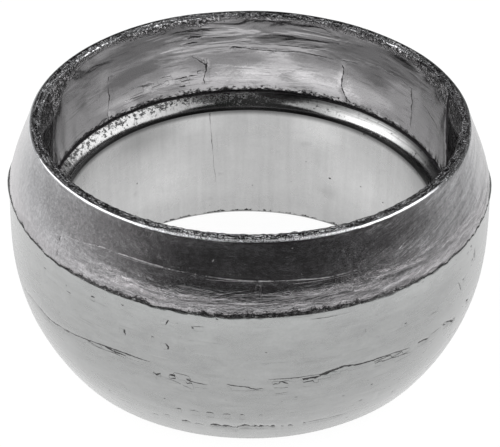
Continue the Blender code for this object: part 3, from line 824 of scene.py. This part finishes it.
class Recipe(Nodes):
    """A material's nodes: places in millimetres, numbers kept on the mesh, noises and bumps."""

    def __init__(self, name):
        self.material = bpy.data.materials.new(name)
        self.material.use_nodes = True
        super().__init__(self.material.node_tree)
        self.shader = self.tree.nodes["Principled BSDF"]
        self.point = self.add("TexCoord").outputs["Object"]
        in_mm = self.add("VectorMath", operation="SCALE")
        self.wire(in_mm, {"Vector": self.point, "Scale": 1000})
        parts = self.add("SeparateXYZ")
        self.feed(parts.inputs[0], in_mm.outputs[0])
        self.x, self.y, self.z = parts.outputs

    def radius(self, centre_x=0.0):
        """Distance from an upright line over centre_x: root of the squares of X less it and of Y."""
        across = self.less(self.x, centre_x)
        return self.sum("SQRT", self.line(across, across, self.both(self.y, self.y)))

    def field(self, name):
        """A number stored on the mesh."""
        return self.add("Attribute", attribute_name=name).outputs["Fac"]

    def noise(self, per_mm, detail=2.0, rough=0.5, shift=0.0, swirl=0.0):
        """Noise with its grains per millimetre: one number, or one each along X, Y and Z."""
        per_mm = per_mm if isinstance(per_mm, tuple) else (per_mm,) * 3
        place = self.add("Mapping")
        scale = tuple(1000 * value for value in per_mm)
        self.wire(place, {"Vector": self.point, "Location": (shift,) * 3, "Scale": scale})
        node = self.add("TexNoise")
        self.wire(node, {"Vector": place.outputs[0], "Scale": 1.0, "Detail": detail,
                         "Roughness": rough, "Distortion": swirl})
        return node.outputs["Fac"]

    def drawn_noise(self, value, across_mm, per_mm, detail=3.0, rough=0.6):
        """Noise in 4D: slow from place to place, quick as the given value changes."""
        node = self.noise(per_mm, detail, rough).node
        node.noise_dimensions = "4D"
        self.feed(node.inputs["W"], self.both(value, across_mm))
        return node.outputs["Fac"]

    def bump(self, height, depth_mm, below=None):
        """Tilts the shading normal as if the surface rose by the depth where the height is 1."""
        node = self.add("Bump", invert=depth_mm < 0)
        self.wire(node, {"Strength": 1.0, "Distance": abs(depth_mm) * MM, "Height": height})
        if below is not None:
            self.feed(node.inputs["Normal"], below)
        return node.outputs["Normal"]


# %% [markdown]
# Marks that several zones share. A crack is dark where the distance to it is less than half its
# opening, with a little noise added to the distance so that its edge is ragged. The seam is
# dark between its lower edge, which stays clean, and its upper edge, which noise tears, and a
# few crumbs lie over it. The crevice ends in flecks too, where the lining frays.

# %% Cracks, the seam and the crevice in the material
CRACK_EDGE = (-0.045, 0.01)
OPEN_ENOUGH = 0.09


class Marked(Recipe):
    """A recipe that collects deep dark marks."""

    def __init__(self, name):
        super().__init__(name)
        self.mask = None

    def mark(self, mask):
        """Adds a mark to those made so far."""
        self.mask = mask if self.mask is None else self.either(self.mask, mask)

    def cracks(self, kind, ragged_mm, thinnest=0.25):
        """Marks the level or upright cracks: a noise thins them here and there to the given share."""
        opening = self.field(kind + "_open")
        wobble = self.line(self.noise(1.6, 4.0, 0.65), 4 * ragged_mm, -2 * ragged_mm)
        distance = self.sum("ABSOLUTE", self.sum("ADD", self.field(kind + "_side"), wobble))
        ragged = self.fade(self.noise(1.3, 3.0, 0.6, 7.0), 0.36, 0.60, thinnest, 1.30)
        inside = self.less(self.both(opening, 0.5, ragged), distance)
        there = self.fade(opening, 0.0, OPEN_ENOUGH)
        self.mark(self.both(self.fade(inside, *CRACK_EDGE), there))

    def seam(self):
        """Marks the seam's gap, above its lower edge and under its torn upper edge, and its crumbs."""
        torn = self.noise((3.0, 3.0, 5.0), 5.0, 0.80, 3.0)
        height = self.field("seam_height")
        gap = self.field("seam_gap")
        top = self.both(gap, self.fade(torn, 0.38, 0.62, 0.05, 2.4))
        under_top = self.fade(self.less(top, height), -0.03, 0.05)
        over_foot = self.fade(self.line(torn, 0.22, height), 0.02, 0.09)
        flecks = self.fade(self.noise((2.4, 2.4, 5.0), 3.0, 0.65, 33.0), 0.57, 0.63, 1.0, 0.15)
        flecks = self.either(flecks, self.fade(gap, 0.24, 0.42, 1.0, 0.0))
        above = self.less(height, gap)
        close = self.both(self.fade(above, 0.0, 1.0, 1.0, 0.0), self.fade(above, -0.2, 0.0),
                          self.fade(gap, 0.10, 0.40))
        crumbs = self.line(close, 0.17, self.noise((1.6, 1.6, 4.4), 4.0, 0.75, 51.0))
        crumbs = self.both(self.fade(crumbs, 0.67, 0.72), close)
        self.mark(self.either(self.both(under_top, over_foot, flecks), crumbs))

    def crevice(self):
        """Marks the crevice between the step and the lining's frayed edge, which is lower in front."""
        torn = self.noise((1.3, 1.3, 2.2), 5.0, 0.76, 4.0)
        height = self.field("lip_height")
        reach = self.both(self.fade(torn, 0.36, 0.66, 0.06, 1.15), self.fade(self.y, 9.0, 20.0, 0.55, 1.0))
        under_fray = self.fade(self.less(reach, height), -0.04, 0.06)
        flecks = self.fade(self.noise((2.4, 2.4, 4.0), 3.0, 0.7, 47.0), 0.50, 0.58, 1.0, 0.30)
        solid_line = self.fade(height, 0.10, 0.30, 1.0, 0.0)
        over_step = self.fade(height, -0.16, -0.04)
        self.mark(self.both(under_fray, self.either(flecks, solid_line), over_step))


# %% [markdown]
# One start serves all the zones. It mixes tones of three sizes: clouds a few millimetres
# across, streaks that run round or up the ring, and fine grain. Roughness follows the clouds,
# so a dark cloud is also a glossier one. The zones then add their own noises on top.

# %% Graphite
DEEP = (0.024, 0.022, 0.024, 1)
CRUMB = (0.07, 0.066, 0.07, 1)
SPECULAR_LEVEL = 0.12
MARK_DEPTH = 0.10
MARK_ROUGHNESS = 0.35


class Graphite(Marked):
    """A finish that is built up in steps: tone, roughness, normal, then marks."""

    def __init__(self, name, tone, gloss, streak, cloud_amount, streak_amount, grain_amount):
        super().__init__(name)
        self.streaks = self.noise(streak, 3.0, 0.6, 2.0)
        self.grain = self.noise(3.2, 3.0, 0.6)
        clouds = self.noise((0.15, 0.15, 0.2), 3.0, 0.55, 1.0)
        self.light = self.both(self.around_one(clouds, cloud_amount),
                               self.around_one(self.streaks, streak_amount))
        self.shade(self.around_one(self.grain, grain_amount))
        self.tone = tone
        self.rough = self.line(clouds, 0.14, gloss - 0.07)
        self.normal = None

    def shade(self, factor):
        """Multiplies the tone: below 1 is darker, above 1 is brighter."""
        self.light = self.both(self.light, factor)

    def shade_by(self, mask, amount):
        """Multiplies the tone by 1 plus the amount times the mask."""
        self.shade(self.line(mask, amount, 1.0))

    def shade_in(self, where, factor):
        """Multiplies the tone by the factor, as far as the mask where lets it."""
        self.shade(self.blend(where, WHITE, factor))

    def rougher(self, mask, amount, start=0.0):
        """Adds the amount times the mask, plus the start, to the roughness."""
        self.rough = self.sum("ADD", self.rough, self.line(mask, amount, start))

    def raise_by(self, height, depth_mm):
        """Adds one bump."""
        self.normal = self.bump(height, depth_mm, self.normal)

    def folds(self, sizes, reach, broken):
        """1 along the folds: by their size and the distance to them, and broken by a noise."""
        distance = self.sum("ABSOLUTE", self.field("fold_side"))
        there = self.fade(self.field("fold_size"), *sizes)
        return self.both(self.fade(distance, *reach, 1.0, 0.0), there, broken)

    def done(self):
        """Joins everything to the shader. The tone runs from none to double, and never over 1."""
        double = tuple(min(2 * value, 1.0) for value in self.tone) + (1,)
        colour = self.blend(self.both(self.light, 0.5), BLACK, double)
        metallic = 1.0
        if self.mask is not None:
            crumbs = self.fade(self.noise(3.4, 2.0, 0.6, 21.0), 0.52, 0.70)
            colour = self.blend(self.mask, colour, self.blend(crumbs, DEEP, CRUMB))
            metallic = self.less(1.0, self.mask)
            self.rougher(self.mask, MARK_ROUGHNESS)
            self.raise_by(self.mask, -MARK_DEPTH)
        self.wire(self.shader, {"Base Color": colour, "Metallic": metallic, "Normal": self.normal,
                                "Roughness": self.rough, "Specular IOR Level": SPECULAR_LEVEL})
        print(self.material.name, "has", len(self.tree.nodes), "nodes")


# %% [markdown]
# The ball is the sealing face, rubbed to an even satin. It keeps faint streaks round the ring
# from the mould, small pits, and the cracks of the wrap. A rough coat and a little sheen give
# the pale bloom of rubbed graphite.

# %% Ball
ball = Graphite("satin_ball", (0.403, 0.408, 0.406), 0.28, (0.10, 0.10, 1.3), 0.12, 0.07, 0.10)
# Painted reflection: the tone raised or lowered by the patches kept on the mesh.
ball.shade_by(ball.field("shine"), 1.0)
blotches = ball.noise((0.30, 0.30, 0.75), 4.0, 0.68, 11.0, 0.6)
ball.shade(ball.around_one(blotches, 0.21))
ball.rougher(blotches, 0.10, -0.05)
scuffs = ball.noise((0.16, 0.16, 3.0), 3.0, 0.6, 5.0)
ball.shade(ball.fade(scuffs, 0.62, 0.74, 1.0, 0.78))
rubs = ball.noise((0.14, 0.14, 2.6), 3.0, 0.6, 25.0)
ball.shade(ball.fade(rubs, 0.64, 0.74, 1.0, 1.12))
for height, depth_mm in ((blotches, 0.012), (ball.streaks, 0.006), (ball.grain, 0.005)):
    ball.raise_by(height, depth_mm)
ball.wire(ball.shader, {"Coat Weight": 0.85, "Coat Roughness": 0.28,
                        "Sheen Weight": 0.36, "Sheen Roughness": 0.30})
ball.cracks("level", 0.06, 0.65)
ball.cracks("upright", 0.10)
ball.seam()
pin_holes = ball.noise((0.9, 0.9, 1.4), 2.0, 0.5, 9.0)
ball.mark(ball.fade(pin_holes, 0.745, 0.80, 0, 0.8))
ball.done()

# %% [markdown]
# The taper was pressed hard and mirrors the dark end of the room. Its left is speckled, and
# slanting strokes cross its right. Both are noises that a mask lets through on one side only.

# %% Taper: grain and strokes
taper = Graphite("rubbed_taper", (0.425, 0.408, 0.420), 0.21, (0.12, 0.12, 1.2), 0.08, 0.07, 0.14)
# Painted reflection: the tone raised or lowered by the patches kept on the mesh.
taper.shade_by(taper.field("shine"), 1.0)
wrinkles = taper.noise((0.13, 0.13, 0.85), 5.0, 0.66, 6.0, 1.4)
low_down = taper.both(taper.fade(taper.field("seam_height"), 2.0, 4.6, 1.0, 0.10),
                      taper.fade(taper.x, -27.0, -14.0, 0.22, 1.0))
taper.raise_by(taper.both(wrinkles, low_down), 0.20)
hammered = taper.noise(1.5, 4.0, 0.72, 8.0)
taper.raise_by(hammered, 0.030)
taper.rougher(hammered, 0.16, -0.08)
taper.shade(taper.around_one(hammered, 0.38))
brushed = taper.noise((1.5, 1.5, 0.22), 3.0, 0.6, 17.0)
taper.shade(taper.around_one(brushed, 0.14))
speckle = taper.fade(taper.noise(2.6, 4.0, 0.72, 71.0), 0.36, 0.66, 0.87, 1.13)
left_side = taper.both(taper.fade(taper.x, -20.0, -8.0, 1.0, 0.0), taper.fade(taper.x, -33.0, -28.0))
taper.shade_in(left_side, speckle)
SLANT = -0.42
strokes = taper.drawn_noise(taper.line(taper.x, SLANT, taper.z), 1.5, 0.12, 4.0, 0.72)
right_side = taper.fade(taper.x, 5.0, 19.0)
taper.shade_in(right_side, taper.fade(strokes, 0.34, 0.66, 0.74, 1.09))
taper.raise_by(taper.both(strokes, right_side), 0.03)

# %% [markdown]
# Just above the seam the taper is wrinkled along the ring, so it picks up strips of the white
# floor, and its tone is painted lighter and darker along the same strips, a painted reflection.
# The strips are drawn out level, and a slow noise lifts and drops them. Over them fine folds
# catch the light, helped by a painted highlight along them, and the wrap's shadow darkens the
# last millimetre to the seam.

# %% Taper: wrinkles, folds and seam
wave = taper.line(taper.noise(0.22, 2.0, 0.5, 61.0), 2.6, taper.z)
strips = taper.drawn_noise(wave, 1.5, 0.10, 5.0, 0.68)
taper.raise_by(taper.both(strips, low_down), 0.06)
# Painted reflection: the tone made lighter and darker along the wrinkle strips.
taper.shade_in(low_down, taper.fade(strips, 0.38, 0.62, 0.64, 1.28))
over_seam = taper.less(taper.field("seam_height"), taper.field("seam_gap"))
shadow = taper.line(taper.noise((1.2, 1.2, 3.0), 4.0, 0.7, 37.0), 1.4, over_seam)
taper.shade(taper.fade(shadow, 0.55, 1.30, 0.62, 1.0))
broken = taper.fade(taper.noise(0.5, 3.0, 0.6, 14.0), 0.36, 0.62, 0.25, 1.0)
fold_line = taper.folds((0.03, 0.18), (0.0, 0.10), broken)
taper.raise_by(fold_line, 0.012)
# Painted highlight along the folds on the taper.
taper.shade_by(fold_line, 0.9)
taper.rougher(fold_line, 0.20)
taper.wire(taper.shader, {"Coat Weight": 0.15, "Coat Roughness": 0.2})
taper.cracks("upright", 0.12)
sparks = taper.fade(taper.noise((2.6, 2.6, 2.2), 1.0, 0.5, 12.0), 0.78, 0.82)
taper.raise_by(sparks, 0.06)
taper.seam()
taper.done()

# %% [markdown]
# The rim is the torn end of the wound sheet: black crumbs with bright ends of wire among
# them. Its outer edge is burnished smooth and draws a thin bright line, helped by a painted
# highlight; its inner edge has painted glints at some bearings and a painted highlight, and
# the face is painted brighter in front. At the back the face is calmer than in front.

# %% Rim: worn edges and painted highlights
rim = Graphite("torn_rim", (0.37, 0.37, 0.38), 0.16, (1.5, 1.5, 1.5), 0.10, 0.10, 0.10)
INNER_EDGE = RIM_FLAT[0] / MM
OUTER_EDGE = RIM_FLAT[1] / MM
edge = rim.line(rim.noise(0.8, 3.0, 0.6, 3.0), 0.5, rim.radius())
# Outer edge: smoothed by wear, with a painted highlight line that lifts its tone up to 1.8 times, fainter on
# the right.
outer_worn = rim.both(rim.fade(edge, OUTER_EDGE + 0.29, OUTER_EDGE + 0.39, 0.0, 1.8),
                      rim.fade(rim.x, 22.0, 27.5, 1.0, 0.15))
# Inner edge: smoothed by wear, with a painted highlight that lifts its tone, fainter at the back.
inner_worn = rim.both(rim.fade(edge, INNER_EDGE + 0.02, INNER_EDGE + 0.22, 0.45, 0.0),
                      rim.fade(rim.y, -8.0, 8.0, 1.0, 0.15))
# Painted glints: bright flecks near the inner edge, at the bearings kept on the mesh.
glints = rim.both(rim.fade(rim.noise(2.4, 3.0, 0.7, 44.0), 0.42, 0.54), rim.field("glint"),
                  rim.fade(edge, INNER_EDGE + 0.45, INNER_EDGE + 0.85, 1.6, 0.0))
worn = rim.either(rim.either(outer_worn, inner_worn), glints)
rim.shade_in(rim.fade(rim.x, 24.0, 29.0), (0.72, 0.72, 0.74, 1))

# %% Rim: torn face
layers = rim.drawn_noise(rim.radius(), 4.6, (0.55, 0.55, 3.0))
crumb = rim.line(rim.noise(3.2, 3.0, 0.7, 2.0), 0.5, rim.both(layers, 0.5))
# Crumbs of the torn face, made brighter by the painted glints and painted twice as bright in front.
crumb_tone = rim.both(rim.fade(crumb, 0.46, 0.63, 0.02, 1.5), rim.line(rim.field("glint"), 1.0, 1.0),
                      rim.fade(rim.y, -29.5, -26.0, 2.00, 1.0))
calm = rim.both(rim.fade(edge, OUTER_EDGE - 0.05, OUTER_EDGE + 0.20), rim.fade(rim.y, -6.0, 6.0))
face_tone = rim.blend(calm, crumb_tone, (0.30, 0.30, 0.30, 1))
rim.shade(rim.either(face_tone, worn))
torn_here = rim.either(rim.line(worn, -0.85, 1.0), rim.fade(rim.y, -29.0, -26.5, 0.35, 0.0))
rim.raise_by(rim.both(torn_here, rim.line(calm, -0.7, 1.0), crumb), 0.55)
rim.raise_by(rim.grain, 0.012)
rim.done()

# %% [markdown]
# The socket's lining is a shiny sheet, pressed but never rubbed: it is wavy, folded along the
# ring near the mouth, and split in places. Painted darker and lighter reflections are patches
# kept on the mesh, whose edges a streaky noise feathers, and its folds carry painted shade.

# %% Socket: waves, painted patches and folds
socket = Graphite("wavy_socket", (0.487, 0.478, 0.488), 0.14, (0.10, 0.10, 1.1), 0.08, 0.08, 0.12)
ripples = socket.both(socket.fade(socket.z, 28.5, 32.0, 0.08, 1.0),
                      socket.fade(socket.x, -19.0, -9.0, 0.25, 1.0),
                      socket.fade(socket.x, 10.0, 20.0, 1.0, 0.35),
                      socket.noise((0.12, 0.12, 0.62), 2.0, 0.45, 6.0, 1.0))
socket.raise_by(ripples, 0.22)
socket.raise_by(socket.noise(0.5, 4.0, 0.68, 8.0), 0.024)
feather = socket.line(socket.noise((0.22, 0.22, 1.2), 5.0, 0.72, 16.0, 0.8), 1.6, -0.80)
# Painted dark patches: darker reflections on the wall, feathered at their edges.
cloudy = socket.fade(socket.sum("ADD", socket.field("cloud"), feather), 0.25, 0.75)
socket.shade_by(cloudy, -0.40)
# Painted lighter reflections on the socket wall, feathered at their edges.
feathered = socket.both(feather, socket.fade(socket.field("shine"), 0.0, 0.3, 0.0, 0.5))
shiny = socket.sum("ADD", socket.field("shine"), feathered)
socket.shade_by(socket.fade(shiny, 0.10, 1.30), 0.75)
scratches = socket.noise((0.20, 0.20, 3.2), 3.0, 0.6, 19.0)
socket.shade(socket.fade(scratches, 0.57, 0.70, 1.0, 0.68))
broken = socket.fade(socket.noise(0.6, 4.0, 0.7, 14.0), 0.35, 0.60, 0.2, 1.0)
fold_line = socket.folds((0.05, 0.30), (0.02, 0.16), broken)
# Painted shade in the folds of the socket.
socket.shade_by(fold_line, -0.6)
socket.raise_by(fold_line, -0.03)

# %% [markdown]
# The lining frays at the mouth: dark crumbs hang down from it, further at some bearings, with
# painted highlights of bright wire between them where the painted glints are. Under the laps
# the wall is painted dark as shade, with a few painted flashes, and a ragged black line
# follows each lap's edge.

# %% Socket: mouth, laps and marks
frayed = socket.noise(2.0, 4.0, 0.78, 5.0)
fray_line = socket.less(HEIGHT / MM + 1.1, socket.field("fray"))
fray_here = socket.fade(socket.less(socket.line(frayed, 2.2, socket.z), fray_line), -0.4, 0.5)
socket.shade_by(fray_here, socket.fade(frayed, 0.42, 0.66, -0.88, -0.05))
# Painted highlights: bright wire among the frayed crumbs, at the bearings of the painted glints.
sparkle = socket.both(fray_here, socket.field("glint"), socket.fade(frayed, 0.46, 0.60, 0.0, 1.8))
socket.shade_by(sparkle, 1.0)
socket.raise_by(socket.both(frayed, fray_here), 0.45)
# Painted shade: the wall under the laps is darkened.
socket.shade_by(socket.field("under"), -0.60)
# Painted flashes of light in the dark under the laps.
flashes = socket.fade(socket.noise(2.2, 3.0, 0.7, 55.0), 0.60, 0.66, 0.0, 3.0)
socket.shade_by(flashes, socket.field("under"))
lap = socket.line(socket.noise((1.5, 1.5, 1.0), 4.0, 0.7, 41.0), 1.6, socket.field("lap_line"))
socket.mark(socket.fade(lap, 1.30, 1.55))
socket.cracks("upright", 0.14)
socket.cracks("level", 0.08)
socket.crevice()
socket.done()

# %% [markdown]
# The step was formed by the punch's shoulder: smooth and bright in its middle, with painted
# shade along its foot and more painted shade along its crest on the right, which narrows the
# highlight there. On the left it is grainy and pitted beside the crevice. How bright it is at
# each bearing is painted light kept on the mesh, brighter at some bearings, darker between.

# %% Step
step = Graphite("pressed_step", (0.47, 0.47, 0.47), 0.16, (2.0, 2.0, 0.3), 0.10, 0.16, 0.14)
under_lip = step.field("lip_height")
# Painted shade: a dark band along the foot of the step.
step.shade(step.fade(under_lip, -2.2, -1.7, 0.07, 1.0))
# Painted light by bearing, kept on the mesh: it shapes the step's highlights.
step.shade(step.field("step_tone"))
# Painted shade along the crest on the right, which narrows the highlight there.
crest = step.line(step.drawn_noise(step.radius(), 3.4, (0.10, 0.10, 0.4)), 1.1, under_lip)
step.shade_in(step.fade(step.x, -2.0, 6.0), step.fade(crest, -0.50, 0.30, 1.0, 0.22))
pit_band = step.both(step.fade(under_lip, -1.7, -0.3), step.fade(step.x, -2.0, 6.0, 1.0, 0.10))
pits = step.line(pit_band, 0.12, step.noise((1.45, 1.45, 2.0), 5.0, 0.80, 3.0))
pits = step.fade(pits, 0.615, 0.67)
step.shade_by(pits, -0.80)
step.raise_by(pits, -0.02)
step.raise_by(step.streaks, 0.012)
left_grain = step.both(step.noise(1.8, 3.0, 0.7, 13.0), step.fade(step.x, -2.0, 6.0, 1.0, 0.15))
step.raise_by(left_grain, 0.022)
step.crevice()
step.done()

# %% [markdown]
# The bore is rubbed by the pipe that slides in it, so its faint brushing runs up and down. It
# is painted darker close under the step, a painted shade, and its lower edge is chipped. The
# foot can't be seen and is plainly rough.

# %% Bore and foot
BORE_TOP = step_low / MM
bore = Graphite("satin_bore", (0.50, 0.50, 0.50), 0.28, (0.9, 0.9, 0.07), 0.08, 0.12, 0.09)
bore.shade(1.14)
# Painted shade close under the step.
bore.shade(bore.fade(bore.z, BORE_TOP - 0.9, BORE_TOP, 1.0, 0.38))
bore.raise_by(bore.streaks, 0.006)
# Painted lighter reflections in the bore.
bore.shade_by(bore.field("shine"), 1.0)
# Painted dark patches in the bore.
bore.shade_by(bore.field("cloud"), -1.0)
bore.shade(bore.fade(bore.z, 1.0, 7.0, 0.92, 1.0))
wiped = bore.noise((0.30, 0.30, 0.50), 4.0, 0.66, 30.0, 0.5)
bore.shade(bore.around_one(wiped, 0.09))
chipped = bore.line(bore.noise(0.9, 4.0, 0.7, 31.0), -1.9, bore.z)
bore.mark(bore.fade(chipped, -0.50, -0.35, 1.0, 0.0))
bore.cracks("upright", 0.14)
bore.mark(bore.fade(bore.noise(0.8, 2.0, 0.5, 9.0), 0.755, 0.80, 0, 0.8))
bore.shade(bore.fade(bore.noise(0.22, 2.0, 0.5, 15.0), 0.68, 0.80, 1.0, 0.75))
bore.done()
foot = Graphite("pressed_foot", (0.38, 0.38, 0.38), 0.36, (0.6, 0.6, 0.6), 0.10, 0.12, 0.12)
foot.raise_by(foot.streaks, 0.02)
foot.done()

# %% Put the finishes on the skin
finishes = {"rim": rim, "taper": taper, "ball": ball, "foot": foot,
            "bore": bore, "step": step, "socket": socket}
for zone_name in ZONES:
    mesh.materials.append(finishes[zone_name].material)
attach(skin, "root")
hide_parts("gasket_ring")
print("finishes", [material.name for material in mesh.materials])

# %% [markdown]
# The camera stands where the photograph was taken from, solved from the ring's own circles:
# 34.55 degrees above the level, 264 mm from a point on the axis, through a long lens.
# The picture's middle is a little off that point, which the small shift takes up.

# %% Camera
AIM = Vector((0, 0, 17.375 * MM))
DISTANCE = 263.75 * MM
ELEVATION = math.radians(34.55)
ROLL = math.radians(0.58)
PICTURE_WIDTH = 500
FOCAL_PIXELS = 1778.9
AIM_PIXEL = (249.2, 219.1)
PICTURE_MIDDLE = (250, 223.5)

lens = bpy.data.cameras.new("camera")
lens.sensor_width = 36
lens.lens = lens.sensor_width * FOCAL_PIXELS / PICTURE_WIDTH
lens.shift_x = (PICTURE_MIDDLE[0] - AIM_PIXEL[0]) / PICTURE_WIDTH
lens.shift_y = (AIM_PIXEL[1] - PICTURE_MIDDLE[1]) / PICTURE_WIDTH
lens.clip_start = 0.01
lens.clip_end = 20
camera = bpy.data.objects.new("camera", lens)
back = Vector((0, -math.cos(ELEVATION), math.sin(ELEVATION)))
camera.location = AIM + back * DISTANCE
camera.rotation_euler = ((-back).to_track_quat("-Z", "Y") @ Quaternion((0, 0, 1), ROLL)).to_euler()
bpy.context.scene.collection.objects.link(camera)
bpy.context.scene.camera = camera
print("lens %.1f mm, shift %.4f %.4f" % (lens.lens, lens.shift_x, lens.shift_y))

# %% [markdown]
# A shiny ring shows the room more than its own colour, so the room is built with care. The
# floor is white paper. In reflections it glows as a painted pool of light that darkens away
# from the ring, sooner on the right than on the left, with painted shade close round the ring.
# The ball and the bore mirror the near floor and look pale, and the front of the taper mirrors
# the dark end of the room. To the camera the paper is white, and it takes a faint shadow.

# %% Floor
FLOOR_REACH = 3.0
FLOOR_DROP = 0.05 * MM
floor_mesh = bpy.data.meshes.new("floor")
floor_corners = [(FLOOR_REACH * a, FLOOR_REACH * b, 0) for a, b in ((-1, -1), (1, -1), (1, 1), (-1, 1))]
floor_mesh.from_pydata(floor_corners, [], [(0, 1, 2, 3)])
floor = bpy.data.objects.new("floor", floor_mesh)
floor.location.z = -FLOOR_DROP
bpy.context.scene.collection.objects.link(floor)
print("floor", 2 * FLOOR_REACH, "m wide")

# %% White paper
PAPER = (0.8, 0.8, 0.8, 1)
FAR_PAPER = (0.965, 1.0, 0.995, 1)
PAPER_CENTRE_X = -90.0
PAPER_HALF = 350.0
PAPER_FALL = 3.2
SEEN_WHITE = 1.12
SEEN_SHARE = 0.84

paper = Recipe("white_paper")
paper.wire(paper.shader, {"Base Color": PAPER, "Roughness": 1.0, "Specular IOR Level": 0.0})
# Painted pool of light for reflections: bright near the ring, fading away from it.
far = paper.sum("POWER", paper.sum("DIVIDE", paper.radius(PAPER_CENTRE_X), PAPER_HALF), PAPER_FALL)
pale = paper.sum("DIVIDE", 1.0, paper.sum("ADD", far, 1.0))
# Painted shade close round the ring, and a little more light far out.
near_ring = paper.fade(paper.radius(), 30.0, 120.0, 0.90, 1.11)
tint = paper.blend(paper.fade(paper.radius(), 60.0, 160.0), WHITE, FAR_PAPER)
mirrored = paper.add("Emission")
paper.wire(mirrored, {"Color": tint, "Strength": paper.both(pale, near_ring)})
seen = paper.add("Emission")
paper.wire(seen, {"Strength": SEEN_WHITE})
lit = paper.shader.outputs[0]
paths = paper.add("LightPath").outputs
almost_white = paper.mix_shaders(SEEN_SHARE, lit, seen.outputs[0])
surface = paper.mix_shaders(paths["Is Camera Ray"], lit, almost_white)
glossy = paper.either(paths["Is Glossy Ray"], paths["Is Transmission Ray"])
surface = paper.mix_shaders(glossy, surface, mirrored.outputs[0])
paper.feed(paper.tree.nodes["Material Output"].inputs["Surface"], surface)
floor_mesh.materials.append(paper.material)
print("the mirrored paper is half as bright", PAPER_HALF, "mm from its centre")

# %% [markdown]
# The room round the table is dark in front and overhead and grows pale towards the back, a
# little sooner on the left. The camera alone sees it as plain white.

# %% World
ROOM_DARK = 0.038
ROOM_BACK = 0.85
ROOM_TURN = -0.17

world = bpy.data.worlds.new("room")
bpy.context.scene.world = world
world.use_nodes = True
room = Nodes(world.node_tree)
direction = room.add("SeparateXYZ")
room.feed(direction.inputs[0], room.add("TexCoord").outputs["Generated"])
way_x, way_y, way_z = direction.outputs
to_back = room.fade(room.line(way_x, ROOM_TURN, way_y), -0.84, 0.38, 0.0, ROOM_BACK)
below_eye = room.fade(way_z, -0.1, 0.5, 1.0, 0.05)
strength = room.sum("ADD", room.both(to_back, below_eye), ROOM_DARK)
dim = room.tree.nodes["Background"]
room.wire(dim, {"Color": WHITE, "Strength": strength})
white = room.add("Background")
room.wire(white, {"Color": WHITE})
to_camera = room.add("LightPath").outputs["Is Camera Ray"]
seen_room = room.mix_shaders(to_camera, dim.outputs[0], white.outputs[0])
room.feed(room.tree.nodes["World Output"].inputs["Surface"], seen_room)
print("room from", ROOM_DARK, "to", ROOM_DARK + ROOM_BACK)

# %% [markdown]
# Two large soft boxes stand over the table's sides. They draw the bright arcs on the step and
# the fine lines on the rim's edge, together with painted highlights there, and the middle
# between them stays dark, with painted shade on the step. Each is placed by two angles: its
# bearing from the front, and how high it stands.

# %% Lamps
LAMPS = (("left_softbox", -86, 44), ("right_softbox", 88, 43))
LAMP_DISTANCE = 0.9
LAMP_WIDTH = 1.40
LAMP_HEIGHT = 0.74
LAMP_POWER = 6.6
for name, from_front, elevation in LAMPS:
    lamp_data = bpy.data.lights.new(name, "AREA")
    lamp_data.shape = "RECTANGLE"
    lamp_data.size = LAMP_WIDTH
    lamp_data.size_y = LAMP_HEIGHT
    lamp_data.energy = LAMP_POWER
    lamp = bpy.data.objects.new(name, lamp_data)
    around = math.radians(from_front - 90)
    up = math.radians(elevation)
    way = Vector((math.cos(around) * math.cos(up), math.sin(around) * math.cos(up), math.sin(up)))
    lamp.location = AIM + way * LAMP_DISTANCE
    lamp.rotation_euler = way.to_track_quat("Z", "Y").to_euler()
    lamp.visible_camera = False
    bpy.context.scene.collection.objects.link(lamp)
print("lamps show as %.1f times white" % (LAMP_POWER / (math.pi * LAMP_WIDTH * LAMP_HEIGHT)))

# %% Finish
bpy.context.scene.view_settings.view_transform = "Standard"
